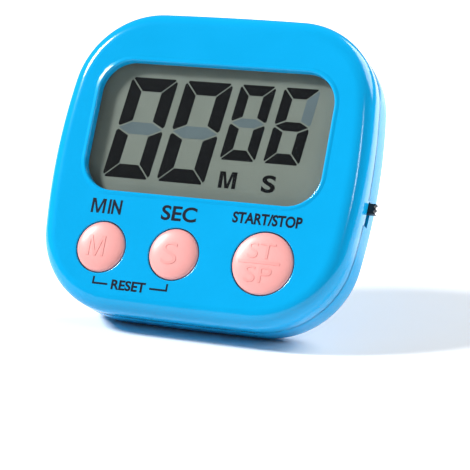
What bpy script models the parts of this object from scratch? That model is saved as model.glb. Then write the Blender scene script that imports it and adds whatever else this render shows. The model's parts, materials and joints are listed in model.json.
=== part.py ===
"""Pocket kitchen timer with a folding stand, modelled in Blender, in metres.

Every piece is drawn in the case's own frame: X to the right, Y up the face and Z out of it,
with the flat of the face at Z = 0 and its middle at X = Y = 0. The empty case_frame then
leans that frame back, so that the timer stands on the lower rear edge of its case and on the
tip of its open stand. Depths are stacked from the face inwards, so each layer's thickness is
written once and the case's own depth follows from them.
"""
import math

import bmesh
import bpy
from mathutils import Matrix, Vector

# Case
CASE_WIDTH = 0.0780
CASE_HEIGHT = 0.0741
CORNER_RADIUS = 0.0208
SIDE_BOW_RADIUS = 0.1500      # left and right sides are slow arcs
END_BOW_RADIUS = 0.9500       # and so are the top and the bottom
FRONT_FILLET = 0.0040
REAR_FILLET = 0.0050
WALL = 0.0018
LEAN = math.radians(29.0)     # how far the face leans back from upright
LAP_HEIGHT = 0.0013           # lip of the rear shell inside the front shell
LAP_THICKNESS = 0.0008
SHELL_GAP = 0.0001            # between the two shells

# Window and display
WINDOW_X = -0.00025
WINDOW_Y = 0.00765
WINDOW_WIDTH = 0.0588
WINDOW_HEIGHT = 0.0321
WINDOW_CORNER = 0.0078
RIM_WIDTH = 0.0014            # raised rim round the window
RIM_HEIGHT = 0.00020
LENS_LAP = 0.0011             # how far the lens goes under the window's edge
LENS_THICKNESS = 0.0008
GLASS_LAP = 0.0008
POLARIZER_THICKNESS = 0.00015
GLASS_THICKNESS = 0.0007
REFLECTOR_THICKNESS = 0.00015
GLASS_LEDGE = 0.0026          # front glass runs past the rear glass, for the connector
LAYER_GAP = 0.0001            # between flat layers that lie on each other
FRAME_WALL = 0.0012
FRAME_PLAY = 0.0002
ZEBRA_WIDTH = 0.0018
ZEBRA_THICKNESS = 0.00125

# Push buttons: name, centre X, radius of the cap
BUTTON_Y = -0.0222
BUTTONS = (
    ("min", -0.0213, 0.0060),
    ("sec", -0.0029, 0.0060),
    ("start_stop", 0.0189, 0.00725),
)
BUTTON_PLAY = 0.00025         # gap round a cap in its hole
CAP_HEIGHT = 0.00095          # how far a cap's crown stands out of the face
FLANGE_LIP = 0.0009
FLANGE_THICKNESS = 0.0008
PLUNGER_RADIUS = 0.0022
PLUNGER_LENGTH = 0.0003
DOME_CROWN_RADIUS = 0.0026
DOME_CROWN_THICKNESS = 0.0006
DOME_SKIN = 0.0004
DOME_BASE_RADIUS = 0.0043
DOME_BASE_THICKNESS = 0.0004
CONTACT_RADIUS = 0.0018
CONTACT_THICKNESS = 0.0004

# Circuit board and what is on it
BOARD_THICKNESS = 0.0010
BOARD_SIDE_PLAY = 0.0107      # between the case's wall and the board's sides
BOARD_CORNER_PLAY = 0.00035   # and between its corners and the case's corner arcs
BOARD_TOP_Y = 0.0010
WING_BOTTOM_Y = -0.0125       # the wing carries the slide switch
BOARD_POST_RADIUS = 0.0017
BOARD_POSTS_X = (-0.0121, 0.0080)
LOW_POST_EDGE = 0.0024        # from the board's lower edge to the low post
BOARD_SCREW_RADIUS = 0.0008
BOARD_SCREW_HEAD_RADIUS = 0.0017
BOARD_SCREW_HEAD = 0.0010
BOARD_SCREW_LENGTH = 0.0040
SOLDER_GAP = 0.0001           # between a mounted piece and the board
BLOB_X = -0.0040
BLOB_Y = -0.0080
BLOB_RADIUS = 0.0045
BLOB_HEIGHT = 0.0012
CRYSTAL_X = 0.0080
CRYSTAL_Y = -0.0060
CRYSTAL_RADIUS = 0.0010
CRYSTAL_LENGTH = 0.0060
CHIP_LENGTH = 0.0020
CHIP_WIDTH = 0.00125
CHIP_HEIGHT = 0.0006
CHIPS = (
    ("resistor_left", -0.0170, -0.0060),
    ("resistor_right", 0.0080, -0.0110),
    ("capacitor_left", -0.0170, -0.0100),
    ("capacitor_right", 0.0165, -0.0060),
)

# Slide switch on the right side
SWITCH_Y = -0.0068            # middle of its shell
SWITCH_LENGTH = 0.0090
SWITCH_WIDTH = 0.0047
SWITCH_HEIGHT = 0.0036
SWITCH_WALL = 0.0003
SWITCH_SETBACK = 0.0010       # shell stands this far inside the case wall
SWITCH_BASE_THICKNESS = 0.0007
LEVER_RISE = 0.0022           # from the board to the lever's middle
LEVER_THICKNESS = 0.0017
LEVER_LENGTH = 0.0024         # along the slot
LEVER_TOP_Y = -0.0040
LEVER_TRAVEL = 0.0028
LEVER_PROUD = 0.0016          # how far the knob stands out of the case side
LEVER_NOTCH = 0.0006
LEVER_RIDGE = 0.00045
LEVER_BLOCK_LENGTH = 0.0036   # slider inside the shell
LEVER_STEM_LENGTH = 0.0020
SLOT_PLAY = 0.00025

# Cell, its bay and its door
CELL_RADIUS = 0.00525
CELL_LENGTH = 0.0445
CELL_NUB_LENGTH = 0.0010
CELL_NUB_RADIUS = 0.0019
CELL_X = 0.00135
CELL_Y = 0.0105
CELL_PLAY = 0.0003
SLEEVE_THICKNESS = 0.00013
SLEEVE_SHORT = 0.0005         # the sleeve stops this far from the can's ends
BAY_WALL = 0.0010
BAY_FLOOR = 0.0006
CONTACT_PLATE = 0.0004
CONTACT_PLATE_HALF = 0.0035
CONTACT_TAIL_HALF = 0.0010
CONTACT_TAIL_LENGTH = 0.0025
CONTACT_PLAY = 0.00015
SPRING_LENGTH = 0.0032
SPRING_WIRE = 0.00030
SPRING_SMALL_RADIUS = 0.0022
SPRING_LARGE_RADIUS = 0.0031
SPRING_TURNS = 3.0
DOOR_THICKNESS = 0.00105
DOOR_LAP = 0.0014             # ledge under the door's long edges
DOOR_END_LAP = 0.0022
DOOR_CORNER = 0.0020
DOOR_PLAY = 0.00015
DOOR_TAB_X = 0.0215
DOOR_TAB_HALF = 0.0022
DOOR_TAB_THICKNESS = 0.0008
DOOR_TAB_REACH = 0.0009
DOOR_LIFT_HALF = 0.0040       # thumb tab on the door's top edge
DOOR_LIFT_REACH = 0.0010

# Sounder
PIEZO_RADIUS = 0.0067
PIEZO_PLATE_THICKNESS = 0.0002
CERAMIC_RADIUS = 0.0045
CERAMIC_THICKNESS = 0.00025
PIEZO_RING_WALL = 0.0009
PIEZO_RING_HEIGHT = 0.0014
PIEZO_OFFSET = 0.0006         # from the ring to the cell bay
SOUND_HOLE_RADIUS = 0.0007
SOUND_HOLE_CIRCLE = 0.0026
SOUND_HOLES = 5

# Case screws: distance of each axis from the case's side and end
TOP_SCREW_INSET = (0.0160, 0.00705)
LOW_SCREW_INSET = (0.0080, 0.01925)
POST_RADIUS = 0.0022
BOSS_RADIUS = 0.0030
CASE_SCREW_RADIUS = 0.0010
CASE_SCREW_HEAD_RADIUS = 0.0019
CASE_SCREW_HEAD = 0.0012
CASE_SCREW_LENGTH = 0.0075
SEAT_DEPTH = 0.0062           # depth of a screw head's seat from the rear face
SCREW_PLAY = 0.0001           # round a screw in its own thread
PASS_PLAY = 0.0003            # round a screw where it passes freely
DRIVE_RADIUS = 0.0009
DRIVE_WIDTH = 0.0004
DRIVE_DEPTH = 0.0005

# Folding stand
HINGE_Y = -0.0051
STAND_HALF_WIDTH = 0.0171
STAND_THICKNESS = 0.0024
STAND_FLUSH = 0.0001          # the folded flap lies this far inside the rear face
STAND_CORNER = 0.0040
STAND_SIDE_PLAY = 0.0003
STAND_END_PLAY = 0.0004
HEEL_LENGTH = 0.0024          # runs past the pin and stops the flap when open
STOP_GAP = 0.0001
BARREL_RADIUS = 0.0015
PIN_RADIUS = 0.0008
PIN_PLAY = 0.00009
POCKET_WALL = 0.0012
MAGNET_WIDTH = 0.0220
MAGNET_HEIGHT = 0.0100
MAGNET_THICKNESS = 0.0016
MAGNET_PLAY = 0.0001
MAGNET_PROUD = 0.0001

# Wires
WIRE_RADIUS = 0.00045
WIRE_GAP = 0.0015             # between the two sounder wires' middles

# Facets
CORNER_STEPS = 6
FILLET_STEPS = 4
LARGE_ROUND = 32
SMALL_ROUND = 16
OVERCUT = 0.0005              # how far a cutter runs past what it cuts
SHARP_ANGLE = math.radians(40.0)

# Depths from the face, stacked inwards
LENS_Z = -(WALL + LAYER_GAP)
POLARIZER_Z = LENS_Z - LENS_THICKNESS - LAYER_GAP
FRONT_GLASS_Z = POLARIZER_Z - POLARIZER_THICKNESS - LAYER_GAP
REAR_GLASS_Z = FRONT_GLASS_Z - GLASS_THICKNESS - LAYER_GAP
REFLECTOR_Z = REAR_GLASS_Z - GLASS_THICKNESS - LAYER_GAP
ZEBRA_Z = REAR_GLASS_Z
BOARD_Z = ZEBRA_Z - ZEBRA_THICKNESS - LAYER_GAP
BOARD_REAR_Z = BOARD_Z - BOARD_THICKNESS
BAY_Z = REFLECTOR_Z - REFLECTOR_THICKNESS - LAYER_GAP
CELL_Z = BAY_Z - BAY_FLOOR - LAYER_GAP - CELL_RADIUS
DOOR_INNER_Z = CELL_Z - CELL_RADIUS - LAYER_GAP
CASE_DEPTH = DOOR_THICKNESS - DOOR_INNER_Z
REAR_Z = -CASE_DEPTH
REAR_INNER_Z = REAR_Z + WALL
LEVER_Z = BOARD_REAR_Z - SOLDER_GAP - LEVER_RISE
SPLIT_Z = LEVER_Z + LEVER_THICKNESS / 2 + SLOT_PLAY


def corner_centre():
    """Centre of the case's upper right corner arc, and the centres' own X and Y of the slow arcs.

    The corner arc runs smoothly into both slow arcs, so its centre is where two circles cross:
    one round each slow arc's centre.
    """
    side_x = CASE_WIDTH / 2 - SIDE_BOW_RADIUS
    end_y = CASE_HEIGHT / 2 - END_BOW_RADIUS
    side_reach = SIDE_BOW_RADIUS - CORNER_RADIUS
    end_reach = END_BOW_RADIUS - CORNER_RADIUS
    span = math.hypot(side_x, end_y)
    along = (side_reach ** 2 - end_reach ** 2 + span ** 2) / (2 * span)
    across = math.sqrt(side_reach ** 2 - along ** 2)
    unit = Vector((-side_x, end_y)) / span
    return Vector((side_x, 0.0)) + along * unit + across * Vector((-unit.y, unit.x)), side_x, end_y


def board_bottom():
    """Y of the board's lower edge, whose corners keep BOARD_CORNER_PLAY to the case's corner arcs."""
    corner = corner_centre()[0]
    reach = CORNER_RADIUS - WALL - BOARD_CORNER_PLAY
    return -corner.y - math.sqrt(reach ** 2 - (BOARD_HALF_WIDTH - corner.x) ** 2)


# Places across the face
BOARD_HALF_WIDTH = CASE_WIDTH / 2 - WALL - BOARD_SIDE_PLAY
BOARD_BOTTOM_Y = board_bottom()
LOW_POST_Y = BOARD_BOTTOM_Y + LOW_POST_EDGE
GLASS_HALF_WIDTH = WINDOW_WIDTH / 2 + GLASS_LAP
GLASS_TOP_Y = WINDOW_Y + WINDOW_HEIGHT / 2 + GLASS_LAP
GLASS_BOTTOM_Y = WINDOW_Y - WINDOW_HEIGHT / 2 - GLASS_LAP
LEDGE_BOTTOM_Y = GLASS_BOTTOM_Y - GLASS_LEDGE
ZEBRA_Y = GLASS_BOTTOM_Y - GLASS_LEDGE / 2
FRAME_BOTTOM_Y = LEDGE_BOTTOM_Y - FRAME_PLAY - FRAME_WALL
BOARD_POST_Y = FRAME_BOTTOM_Y - BOARD_POST_RADIUS - PASS_PLAY
SWITCH_OUTER_X = CASE_WIDTH / 2 - WALL - SWITCH_SETBACK
SWITCH_X = SWITCH_OUTER_X - SWITCH_WIDTH / 2
CELL_CAN_RADIUS = CELL_RADIUS - SLEEVE_THICKNESS - LAYER_GAP
BAY_RIGHT = CELL_X + CELL_LENGTH / 2 + CONTACT_PLATE + 2 * CONTACT_PLAY
BAY_LEFT = CELL_X - CELL_LENGTH / 2 - SPRING_LENGTH - CONTACT_PLATE - 3 * CONTACT_PLAY
BAY_TOP = CELL_Y + CELL_RADIUS + CELL_PLAY
BAY_BOTTOM = CELL_Y - CELL_RADIUS - CELL_PLAY
DOOR_X = (BAY_LEFT + BAY_RIGHT) / 2
DOOR_WIDTH = BAY_RIGHT - BAY_LEFT + 2 * DOOR_END_LAP
DOOR_TOP = BAY_TOP + DOOR_LAP
DOOR_BOTTOM = BAY_BOTTOM - DOOR_LAP
PIEZO_RING_RADIUS = PIEZO_RADIUS + PIEZO_RING_WALL / 2
PIEZO_Y = BAY_TOP + BAY_WALL + PIEZO_OFFSET + PIEZO_RING_RADIUS
PIEZO_Z = REAR_INNER_Z + PIEZO_RING_HEIGHT + LAYER_GAP
CASE_SCREWS = tuple(
    (f"case_screw_{row}_{side}", sign * (CASE_WIDTH / 2 - inset[0]), end * (CASE_HEIGHT / 2 - inset[1]))
    for row, end, inset in (("top", 1, TOP_SCREW_INSET), ("low", -1, LOW_SCREW_INSET))
    for side, sign in (("left", -1), ("right", 1))
)
BOARD_SCREWS = (
    ("board_screw_top_left", BOARD_POSTS_X[0], BOARD_POST_Y),
    ("board_screw_top_right", BOARD_POSTS_X[1], BOARD_POST_Y),
    ("board_screw_low", BOARD_POSTS_X[1], LOW_POST_Y),
)

# The stand folds flush into the rear face, with its tip on the rear fillet's own curve
STAND_OUTER_Z = REAR_Z + STAND_FLUSH
STAND_INNER_Z = STAND_OUTER_Z + STAND_THICKNESS
STAND_TIP_RADIUS = STAND_THICKNESS / 2
STAND_MIDDLE_Z = STAND_OUTER_Z + STAND_TIP_RADIUS
HINGE_Z = STAND_OUTER_Z + BARREL_RADIUS
EDGE_Y = -CASE_HEIGHT / 2 + REAR_FILLET      # middle of the lower rear fillet
EDGE_Z = REAR_Z + REAR_FILLET
TIP_Y = EDGE_Y - math.sqrt((REAR_FILLET - STAND_TIP_RADIUS) ** 2 - (STAND_MIDDLE_Z - EDGE_Z) ** 2)


def stand_angle():
    """How far the flap turns from folded until its tip is level with the case's lower rear edge."""
    reach = math.hypot(HINGE_Y - TIP_Y, HINGE_Z - STAND_MIDDLE_Z)
    head_start = math.atan2(HINGE_Z - STAND_MIDDLE_Z, HINGE_Y - TIP_Y)
    height = (HINGE_Y - EDGE_Y) * math.cos(LEAN) + (HINGE_Z - EDGE_Z) * math.sin(LEAN) + REAR_FILLET
    return LEAN + math.acos((height - STAND_TIP_RADIUS) / reach) - head_start


STAND_OPEN = stand_angle()
HEEL_INNER = STAND_INNER_Z - HINGE_Z
POCKET_Z = HINGE_Z + HEEL_LENGTH * math.sin(STAND_OPEN) + HEEL_INNER * math.cos(STAND_OPEN) + STOP_GAP
POCKET_TOP = HINGE_Y + math.hypot(HEEL_LENGTH, HEEL_INNER) + STAND_END_PLAY
POCKET_BOTTOM = TIP_Y - STAND_TIP_RADIUS - STAND_END_PLAY
POCKET_HALF_WIDTH = STAND_HALF_WIDTH + STAND_SIDE_PLAY


# ---------------------------------------------------------------- outlines and solids

def arc(radius, start, end, steps, centre=(0.0, 0.0)):
    """Points of an arc from one angle to another, both ends included."""
    angles = [start + (end - start) * k / steps for k in range(steps + 1)]
    return [(centre[0] + radius * math.cos(a), centre[1] + radius * math.sin(a)) for a in angles]


def circle(radius, steps, centre=(0.0, 0.0)):
    """Points round a whole circle."""
    return arc(radius, 0.0, math.tau, steps, centre)[:-1]


def rounded_rectangle(x_low, x_high, y_low, y_high, radius, steps=3):
    """Points round a rectangle whose corners are quarter circles."""
    corners = (
        (x_high - radius, y_high - radius, 0.0),
        (x_low + radius, y_high - radius, math.pi / 2),
        (x_low + radius, y_low + radius, math.pi),
        (x_high - radius, y_low + radius, 1.5 * math.pi),
    )
    points = []
    for x, y, start in corners:
        points += arc(radius, start, start + math.pi / 2, steps, (x, y))
    return points


def window_outline(growth):
    """The window's outline, made larger all round by growth."""
    half_width = WINDOW_WIDTH / 2 + growth
    half_height = WINDOW_HEIGHT / 2 + growth
    return rounded_rectangle(
        WINDOW_X - half_width, WINDOW_X + half_width,
        WINDOW_Y - half_height, WINDOW_Y + half_height, WINDOW_CORNER + growth, 5,
    )


def case_outline(inset):
    """The case's outline, moved inwards by inset: slow arcs joined by corner arcs."""
    corner, side_x, end_y = corner_centre()
    side_end = math.atan2(corner.y, corner.x - side_x)
    corner_end = math.atan2(corner.y - end_y, corner.x)
    quadrant = arc(SIDE_BOW_RADIUS - inset, 0.0, side_end, 2, (side_x, 0.0))[:-1]
    quadrant += arc(CORNER_RADIUS - inset, side_end, corner_end, CORNER_STEPS, corner)
    quadrant.append((0.0, CASE_HEIGHT / 2 - inset))
    upper = quadrant + [(-x, y) for x, y in reversed(quadrant[:-1])]
    return upper + [(x, -y) for x, y in reversed(upper[1:-1])]


def loft(sections):
    """A closed solid through (outline, z) sections, which all have the same number of points."""
    bm = bmesh.new()
    loops = [[bm.verts.new((x, y, z)) for x, y in outline] for outline, z in sections]
    count = len(loops[0])
    for lower, upper in zip(loops, loops[1:]):
        for k in range(count):
            after = (k + 1) % count
            bm.faces.new((lower[k], lower[after], upper[after], upper[k]))
    bm.faces.new(loops[0])
    bm.faces.new(loops[-1])
    bmesh.ops.recalc_face_normals(bm, faces=bm.faces)
    return bm


def prism(outline, z_low, z_high):
    """A straight solid of one outline between two depths."""
    return loft([(outline, z_low), (outline, z_high)])


def box(x_low, x_high, y_low, y_high, z_low, z_high):
    """A rectangular block between its lowest and highest corners."""
    bm = bmesh.new()
    bmesh.ops.create_cube(bm, size=1.0)
    size = Vector((x_high - x_low, y_high - y_low, z_high - z_low))
    middle = Vector((x_high + x_low, y_high + y_low, z_high + z_low)) / 2
    bmesh.ops.scale(bm, vec=size, verts=bm.verts)
    bmesh.ops.translate(bm, vec=middle, verts=bm.verts)
    return bm


def turned(profile, x, y, steps):
    """A solid turned round an axis along Z through x, y, from (radius, z) points."""
    return loft([(circle(radius, steps, (x, y)), z) for radius, z in profile])


def rod(radius, z_low, z_high, x, y, steps=SMALL_ROUND):
    """A round bar along Z."""
    return turned([(radius, z_low), (radius, z_high)], x, y, steps)


def along_x(bm):
    """Turns a solid drawn with its length along Z so that its length is along X.

    The drawn X and Y become Y and Z.
    """
    swap = Matrix(((0, 0, 1, 0), (1, 0, 0, 0), (0, 1, 0, 0), (0, 0, 0, 1)))
    bmesh.ops.transform(bm, matrix=swap, verts=bm.verts)
    return bm


def rod_along_x(radius, x_low, x_high, y, z, steps=SMALL_ROUND):
    """A round bar along X."""
    return along_x(rod(radius, x_low, x_high, y, z, steps))


def shell_sections(fillet, wall, face_z, inwards, steps):
    """Sections of a filleted edge: flat face first, then out to the inset wall.

    inwards is the direction in Z from the face into the case.
    """
    turns = [math.pi / 2 * k / steps for k in range(steps + 1)]
    return [
        (case_outline(wall + fillet * (1 - math.sin(a))), face_z + inwards * fillet * (1 - math.cos(a)))
        for a in turns
    ]


# ---------------------------------------------------------------- scene objects

def clear_scene():
    """Removes whatever the scene holds."""
    for obj in list(bpy.data.objects):
        bpy.data.objects.remove(obj, do_unlink=True)


def finish(name, colour, roughness, metallic=0.0, alpha=1.0):
    """A surface finish, as a Principled BSDF."""
    material = bpy.data.materials.new(name)
    material.use_nodes = True
    shader = material.node_tree.nodes["Principled BSDF"]
    shader.inputs["Base Color"].default_value = (*colour, 1.0)
    shader.inputs["Roughness"].default_value = roughness
    shader.inputs["Metallic"].default_value = metallic
    shader.inputs["Alpha"].default_value = alpha
    material.diffuse_color = (*colour, alpha)
    return material


def pivot(name, place, parent, turn=0.0):
    """An empty on a joint's axis, in its parent's frame, turned about X."""
    empty = bpy.data.objects.new(name, None)
    empty.empty_display_size = 0.004
    empty.location = place
    empty.rotation_euler = (turn, 0.0, 0.0)
    empty.parent = parent
    bpy.context.scene.collection.objects.link(empty)
    return empty


def piece(name, bm, holder, surface=None):
    """An object from a solid drawn in the case's frame, held by case_frame or by a joint's empty."""
    if holder.parent is not None:
        bmesh.ops.translate(bm, vec=-holder.location, verts=bm.verts)
    mesh = bpy.data.meshes.new(name)
    bm.to_mesh(mesh)
    bm.free()
    mesh.shade_smooth()
    mesh.set_sharp_from_angle(angle=SHARP_ANGLE)
    if surface is not None:
        mesh.materials.append(surface)
    obj = bpy.data.objects.new(name, mesh)
    obj.parent = holder
    bpy.context.scene.collection.objects.link(obj)
    return obj


def boolean(target, bm, operation, label):
    """Adds to, cuts from or trims a piece with a solid drawn in the case's frame."""
    tool = piece(f"{target.name}.{label}", bm, target.parent)
    tool.hide_render = True
    tool.display_type = "WIRE"
    modifier = target.modifiers.new(label, "BOOLEAN")
    modifier.operation = operation
    modifier.solver = "EXACT"
    modifier.object = tool
    return tool


def cut(target, bm, label):
    """Cuts a solid away from a piece."""
    return boolean(target, bm, "DIFFERENCE", label)


def fuse(target, bm, label):
    """Makes a solid one with a piece."""
    return boolean(target, bm, "UNION", label)


def round_edges(target, width, segments=1):
    """Rounds a moulded or stamped piece's edges."""
    modifier = target.modifiers.new("edges", "BEVEL")
    modifier.width = width
    modifier.segments = segments
    modifier.limit_method = "ANGLE"
    modifier.angle_limit = SHARP_ANGLE
    modifier.use_clamp_overlap = True


# ---------------------------------------------------------------- case shells

def front_case(frame, surface):
    """Front shell: a filleted block, hollowed so that the screw posts stay standing."""
    sections = shell_sections(FRONT_FILLET, 0.0, 0.0, -1, FILLET_STEPS)
    sections.append((case_outline(0.0), SPLIT_Z))
    shell = piece("front_case", loft(sections), frame, surface)

    lap_inset = LAP_THICKNESS + SHELL_GAP
    inner = shell_sections(FRONT_FILLET - WALL, WALL, -WALL, -1, 2)
    inner.append((case_outline(WALL), SPLIT_Z + LAP_HEIGHT))
    inner.append((case_outline(WALL - lap_inset), SPLIT_Z + LAP_HEIGHT))
    inner.append((case_outline(WALL - lap_inset), SPLIT_Z - OVERCUT))
    hollow = cut(shell, loft(inner), "hollow")
    for name, x, y in CASE_SCREWS:
        cut(hollow, rod(POST_RADIUS, SPLIT_Z + SHELL_GAP, -WALL / 2, x, y), f"{name}_post")
    for name, x, y in BOARD_SCREWS:
        cut(hollow, rod(BOARD_POST_RADIUS, BOARD_Z + LAYER_GAP, -WALL / 2, x, y), f"{name}_post")
    for name, x, y in CASE_SCREWS:
        pilot = CASE_SCREW_RADIUS + SCREW_PLAY
        cut(shell, rod(pilot, SPLIT_Z - OVERCUT, case_screw_tip_z() + OVERCUT, x, y, 12), name)
    for name, x, y in BOARD_SCREWS:
        pilot = BOARD_SCREW_RADIUS + SCREW_PLAY
        top = BOARD_REAR_Z - LAYER_GAP + BOARD_SCREW_LENGTH + LAYER_GAP
        cut(shell, rod(pilot, BOARD_Z - OVERCUT, top, x, y, 12), name)

    rim = [
        (window_outline(RIM_WIDTH), -WALL / 2),
        (window_outline(RIM_WIDTH), 0.0),
        (window_outline(RIM_WIDTH * 0.65), RIM_HEIGHT),
        (window_outline(RIM_WIDTH * 0.3), RIM_HEIGHT),
        (window_outline(-OVERCUT), -WALL / 2),
    ]
    fuse(shell, loft(rim), "rim")
    cut(shell, prism(window_outline(0.0), -WALL - OVERCUT, RIM_HEIGHT + OVERCUT), "window")
    for name, x, radius in BUTTONS:
        hole = rod(radius + BUTTON_PLAY, -WALL - OVERCUT, OVERCUT, x, BUTTON_Y, LARGE_ROUND)
        cut(shell, hole, f"{name}_hole")
    return shell


def rear_case(frame, surface):
    """Rear shell: hollowed so that the stand's pocket, the bosses and the sounder's ring stay standing."""
    lap_inset = WALL - LAP_THICKNESS
    top_z = SPLIT_Z - SHELL_GAP
    sections = shell_sections(REAR_FILLET, 0.0, REAR_Z, 1, FILLET_STEPS)
    sections.append((case_outline(0.0), top_z))
    sections.append((case_outline(lap_inset), top_z))
    sections.append((case_outline(lap_inset), top_z + LAP_HEIGHT))
    shell = piece("rear_case", loft(sections), frame, surface)

    inner = shell_sections(REAR_FILLET - WALL, WALL, REAR_INNER_Z, 1, 2)
    inner.append((case_outline(WALL), top_z + LAP_HEIGHT + OVERCUT))
    hollow = cut(shell, loft(inner), "hollow")
    block = box(
        -POCKET_HALF_WIDTH - POCKET_WALL, POCKET_HALF_WIDTH + POCKET_WALL,
        -CASE_HEIGHT / 2, POCKET_TOP + POCKET_WALL, REAR_Z, POCKET_Z + POCKET_WALL,
    )
    cut(hollow, block, "stand_pocket_walls")
    for name, x, y in CASE_SCREWS:
        cut(hollow, rod(BOSS_RADIUS, REAR_Z, top_z - SHELL_GAP, x, y), f"{name}_boss")
    ring = rod(PIEZO_RING_RADIUS, REAR_Z, REAR_INNER_Z + PIEZO_RING_HEIGHT, 0.0, PIEZO_Y, LARGE_ROUND)
    cut(hollow, ring, "sounder_ring")

    bay = box(
        BAY_LEFT - BAY_WALL, BAY_RIGHT + BAY_WALL, BAY_BOTTOM - BAY_WALL, BAY_TOP + BAY_WALL,
        REAR_Z + DOOR_THICKNESS / 2, BAY_Z,
    )
    fuse(shell, bay, "cell_bay_walls")
    inside = box(BAY_LEFT, BAY_RIGHT, BAY_BOTTOM, BAY_TOP, REAR_Z - OVERCUT, BAY_Z - BAY_FLOOR)
    cut(shell, inside, "cell_bay")
    cut(shell, prism(door_outline(DOOR_PLAY), REAR_Z - OVERCUT, DOOR_INNER_Z + LAYER_GAP), "door_seat")
    cut_door_notches(shell)
    cut_contact_slots(shell)

    chamber_radius = PIEZO_RING_RADIUS - PIEZO_RING_WALL
    chamber = rod(chamber_radius, REAR_INNER_Z, PIEZO_Z + OVERCUT, 0.0, PIEZO_Y, LARGE_ROUND)
    cut(shell, chamber, "sounder_chamber")
    holes = [(0.0, PIEZO_Y)] + circle(SOUND_HOLE_CIRCLE, SOUND_HOLES, (0.0, PIEZO_Y))
    for number, (x, y) in enumerate(holes):
        hole = rod(SOUND_HOLE_RADIUS, REAR_Z - OVERCUT, REAR_INNER_Z + OVERCUT, x, y, 8)
        cut(shell, hole, f"sound_hole_{number}")

    for name, x, y in CASE_SCREWS:
        head = CASE_SCREW_HEAD_RADIUS + PASS_PLAY
        cut(shell, rod(head, REAR_Z - OVERCUT, REAR_Z + SEAT_DEPTH, x, y), f"{name}_seat")
        shank = CASE_SCREW_RADIUS + PASS_PLAY
        cut(shell, rod(shank, REAR_Z + SEAT_DEPTH - OVERCUT, top_z + OVERCUT, x, y, 12), name)

    pocket = box(
        -POCKET_HALF_WIDTH, POCKET_HALF_WIDTH, POCKET_BOTTOM, POCKET_TOP, REAR_Z - OVERCUT, POCKET_Z,
    )
    cut(shell, pocket, "stand_pocket")
    pin_reach = POCKET_HALF_WIDTH + POCKET_WALL + OVERCUT
    pin_hole = rod_along_x(PIN_RADIUS + PIN_PLAY, -pin_reach, pin_reach, HINGE_Y, HINGE_Z)
    cut(shell, pin_hole, "pin_hole")

    slot = box(
        CASE_WIDTH / 2 - WALL - OVERCUT, CASE_WIDTH / 2 + OVERCUT,
        LEVER_TOP_Y - LEVER_LENGTH - LEVER_TRAVEL - SLOT_PLAY, LEVER_TOP_Y + SLOT_PLAY,
        LEVER_Z - LEVER_THICKNESS / 2 - SLOT_PLAY, top_z + LAP_HEIGHT + OVERCUT,
    )
    cut(shell, slot, "switch_slot")
    return shell


# ---------------------------------------------------------------- cell bay and door

def door_outline(growth):
    """Outline of the cell door's plate, made larger all round by growth."""
    half_width = DOOR_WIDTH / 2 + growth
    return rounded_rectangle(
        DOOR_X - half_width, DOOR_X + half_width,
        DOOR_BOTTOM - growth, DOOR_TOP + growth, DOOR_CORNER + growth, 3,
    )


def door_tab_box(x, play):
    """The hooked foot of one door tab, which lies inside the rear wall."""
    return box(
        x - DOOR_TAB_HALF - play, x + DOOR_TAB_HALF + play,
        DOOR_BOTTOM - DOOR_TAB_REACH - play, DOOR_BOTTOM + DOOR_LAP + play,
        REAR_INNER_Z + LAYER_GAP - play, REAR_INNER_Z + LAYER_GAP + DOOR_TAB_THICKNESS + play,
    )


def cut_door_notches(shell):
    """Openings that the door's tabs and thumb tab need, closed and while it tilts out."""
    reach = math.hypot(DOOR_TAB_REACH, DOOR_TAB_THICKNESS + LAYER_GAP + WALL) + DOOR_PLAY
    for side, x in (("left", DOOR_X - DOOR_TAB_X), ("right", DOOR_X + DOOR_TAB_X)):
        notch = box(
            x - DOOR_TAB_HALF - DOOR_PLAY, x + DOOR_TAB_HALF + DOOR_PLAY,
            DOOR_BOTTOM - DOOR_TAB_REACH - DOOR_PLAY, BAY_BOTTOM + OVERCUT, REAR_INNER_Z, REAR_Z + reach,
        )
        cut(shell, notch, f"door_notch_{side}")
        opening = box(
            x - DOOR_TAB_HALF - DOOR_PLAY, x + DOOR_TAB_HALF + DOOR_PLAY,
            DOOR_BOTTOM, BAY_BOTTOM + 2 * OVERCUT, DOOR_INNER_Z, REAR_INNER_Z + OVERCUT,
        )
        cut(shell, opening, f"door_opening_{side}")
    lift = box(
        DOOR_X - DOOR_LIFT_HALF - DOOR_PLAY, DOOR_X + DOOR_LIFT_HALF + DOOR_PLAY,
        BAY_TOP + DOOR_LAP / 2, DOOR_TOP + DOOR_LIFT_REACH + DOOR_PLAY,
        REAR_Z - OVERCUT, DOOR_INNER_Z + LAYER_GAP / 2,
    )
    cut(shell, lift, "door_lift_notch")


def cut_contact_slots(shell):
    """A slot in each end wall of the bay for a contact's solder tail."""
    for side, x in (("left", BAY_LEFT - BAY_WALL), ("right", BAY_RIGHT)):
        slot = box(
            x - OVERCUT, x + BAY_WALL + OVERCUT,
            CELL_Y - CONTACT_TAIL_HALF - CONTACT_PLAY, CELL_Y + CONTACT_TAIL_HALF + CONTACT_PLAY,
            contact_tail_z() - CONTACT_PLATE / 2 - CONTACT_PLAY,
            contact_tail_z() + CONTACT_PLATE / 2 + CONTACT_PLAY,
        )
        cut(shell, slot, f"contact_slot_{side}")


def contact_tail_z():
    """Depth of the solder tails, between the bay's floor and the contact plates' middles."""
    return CELL_Z + CONTACT_PLATE_HALF - CONTACT_PLATE / 2


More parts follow.
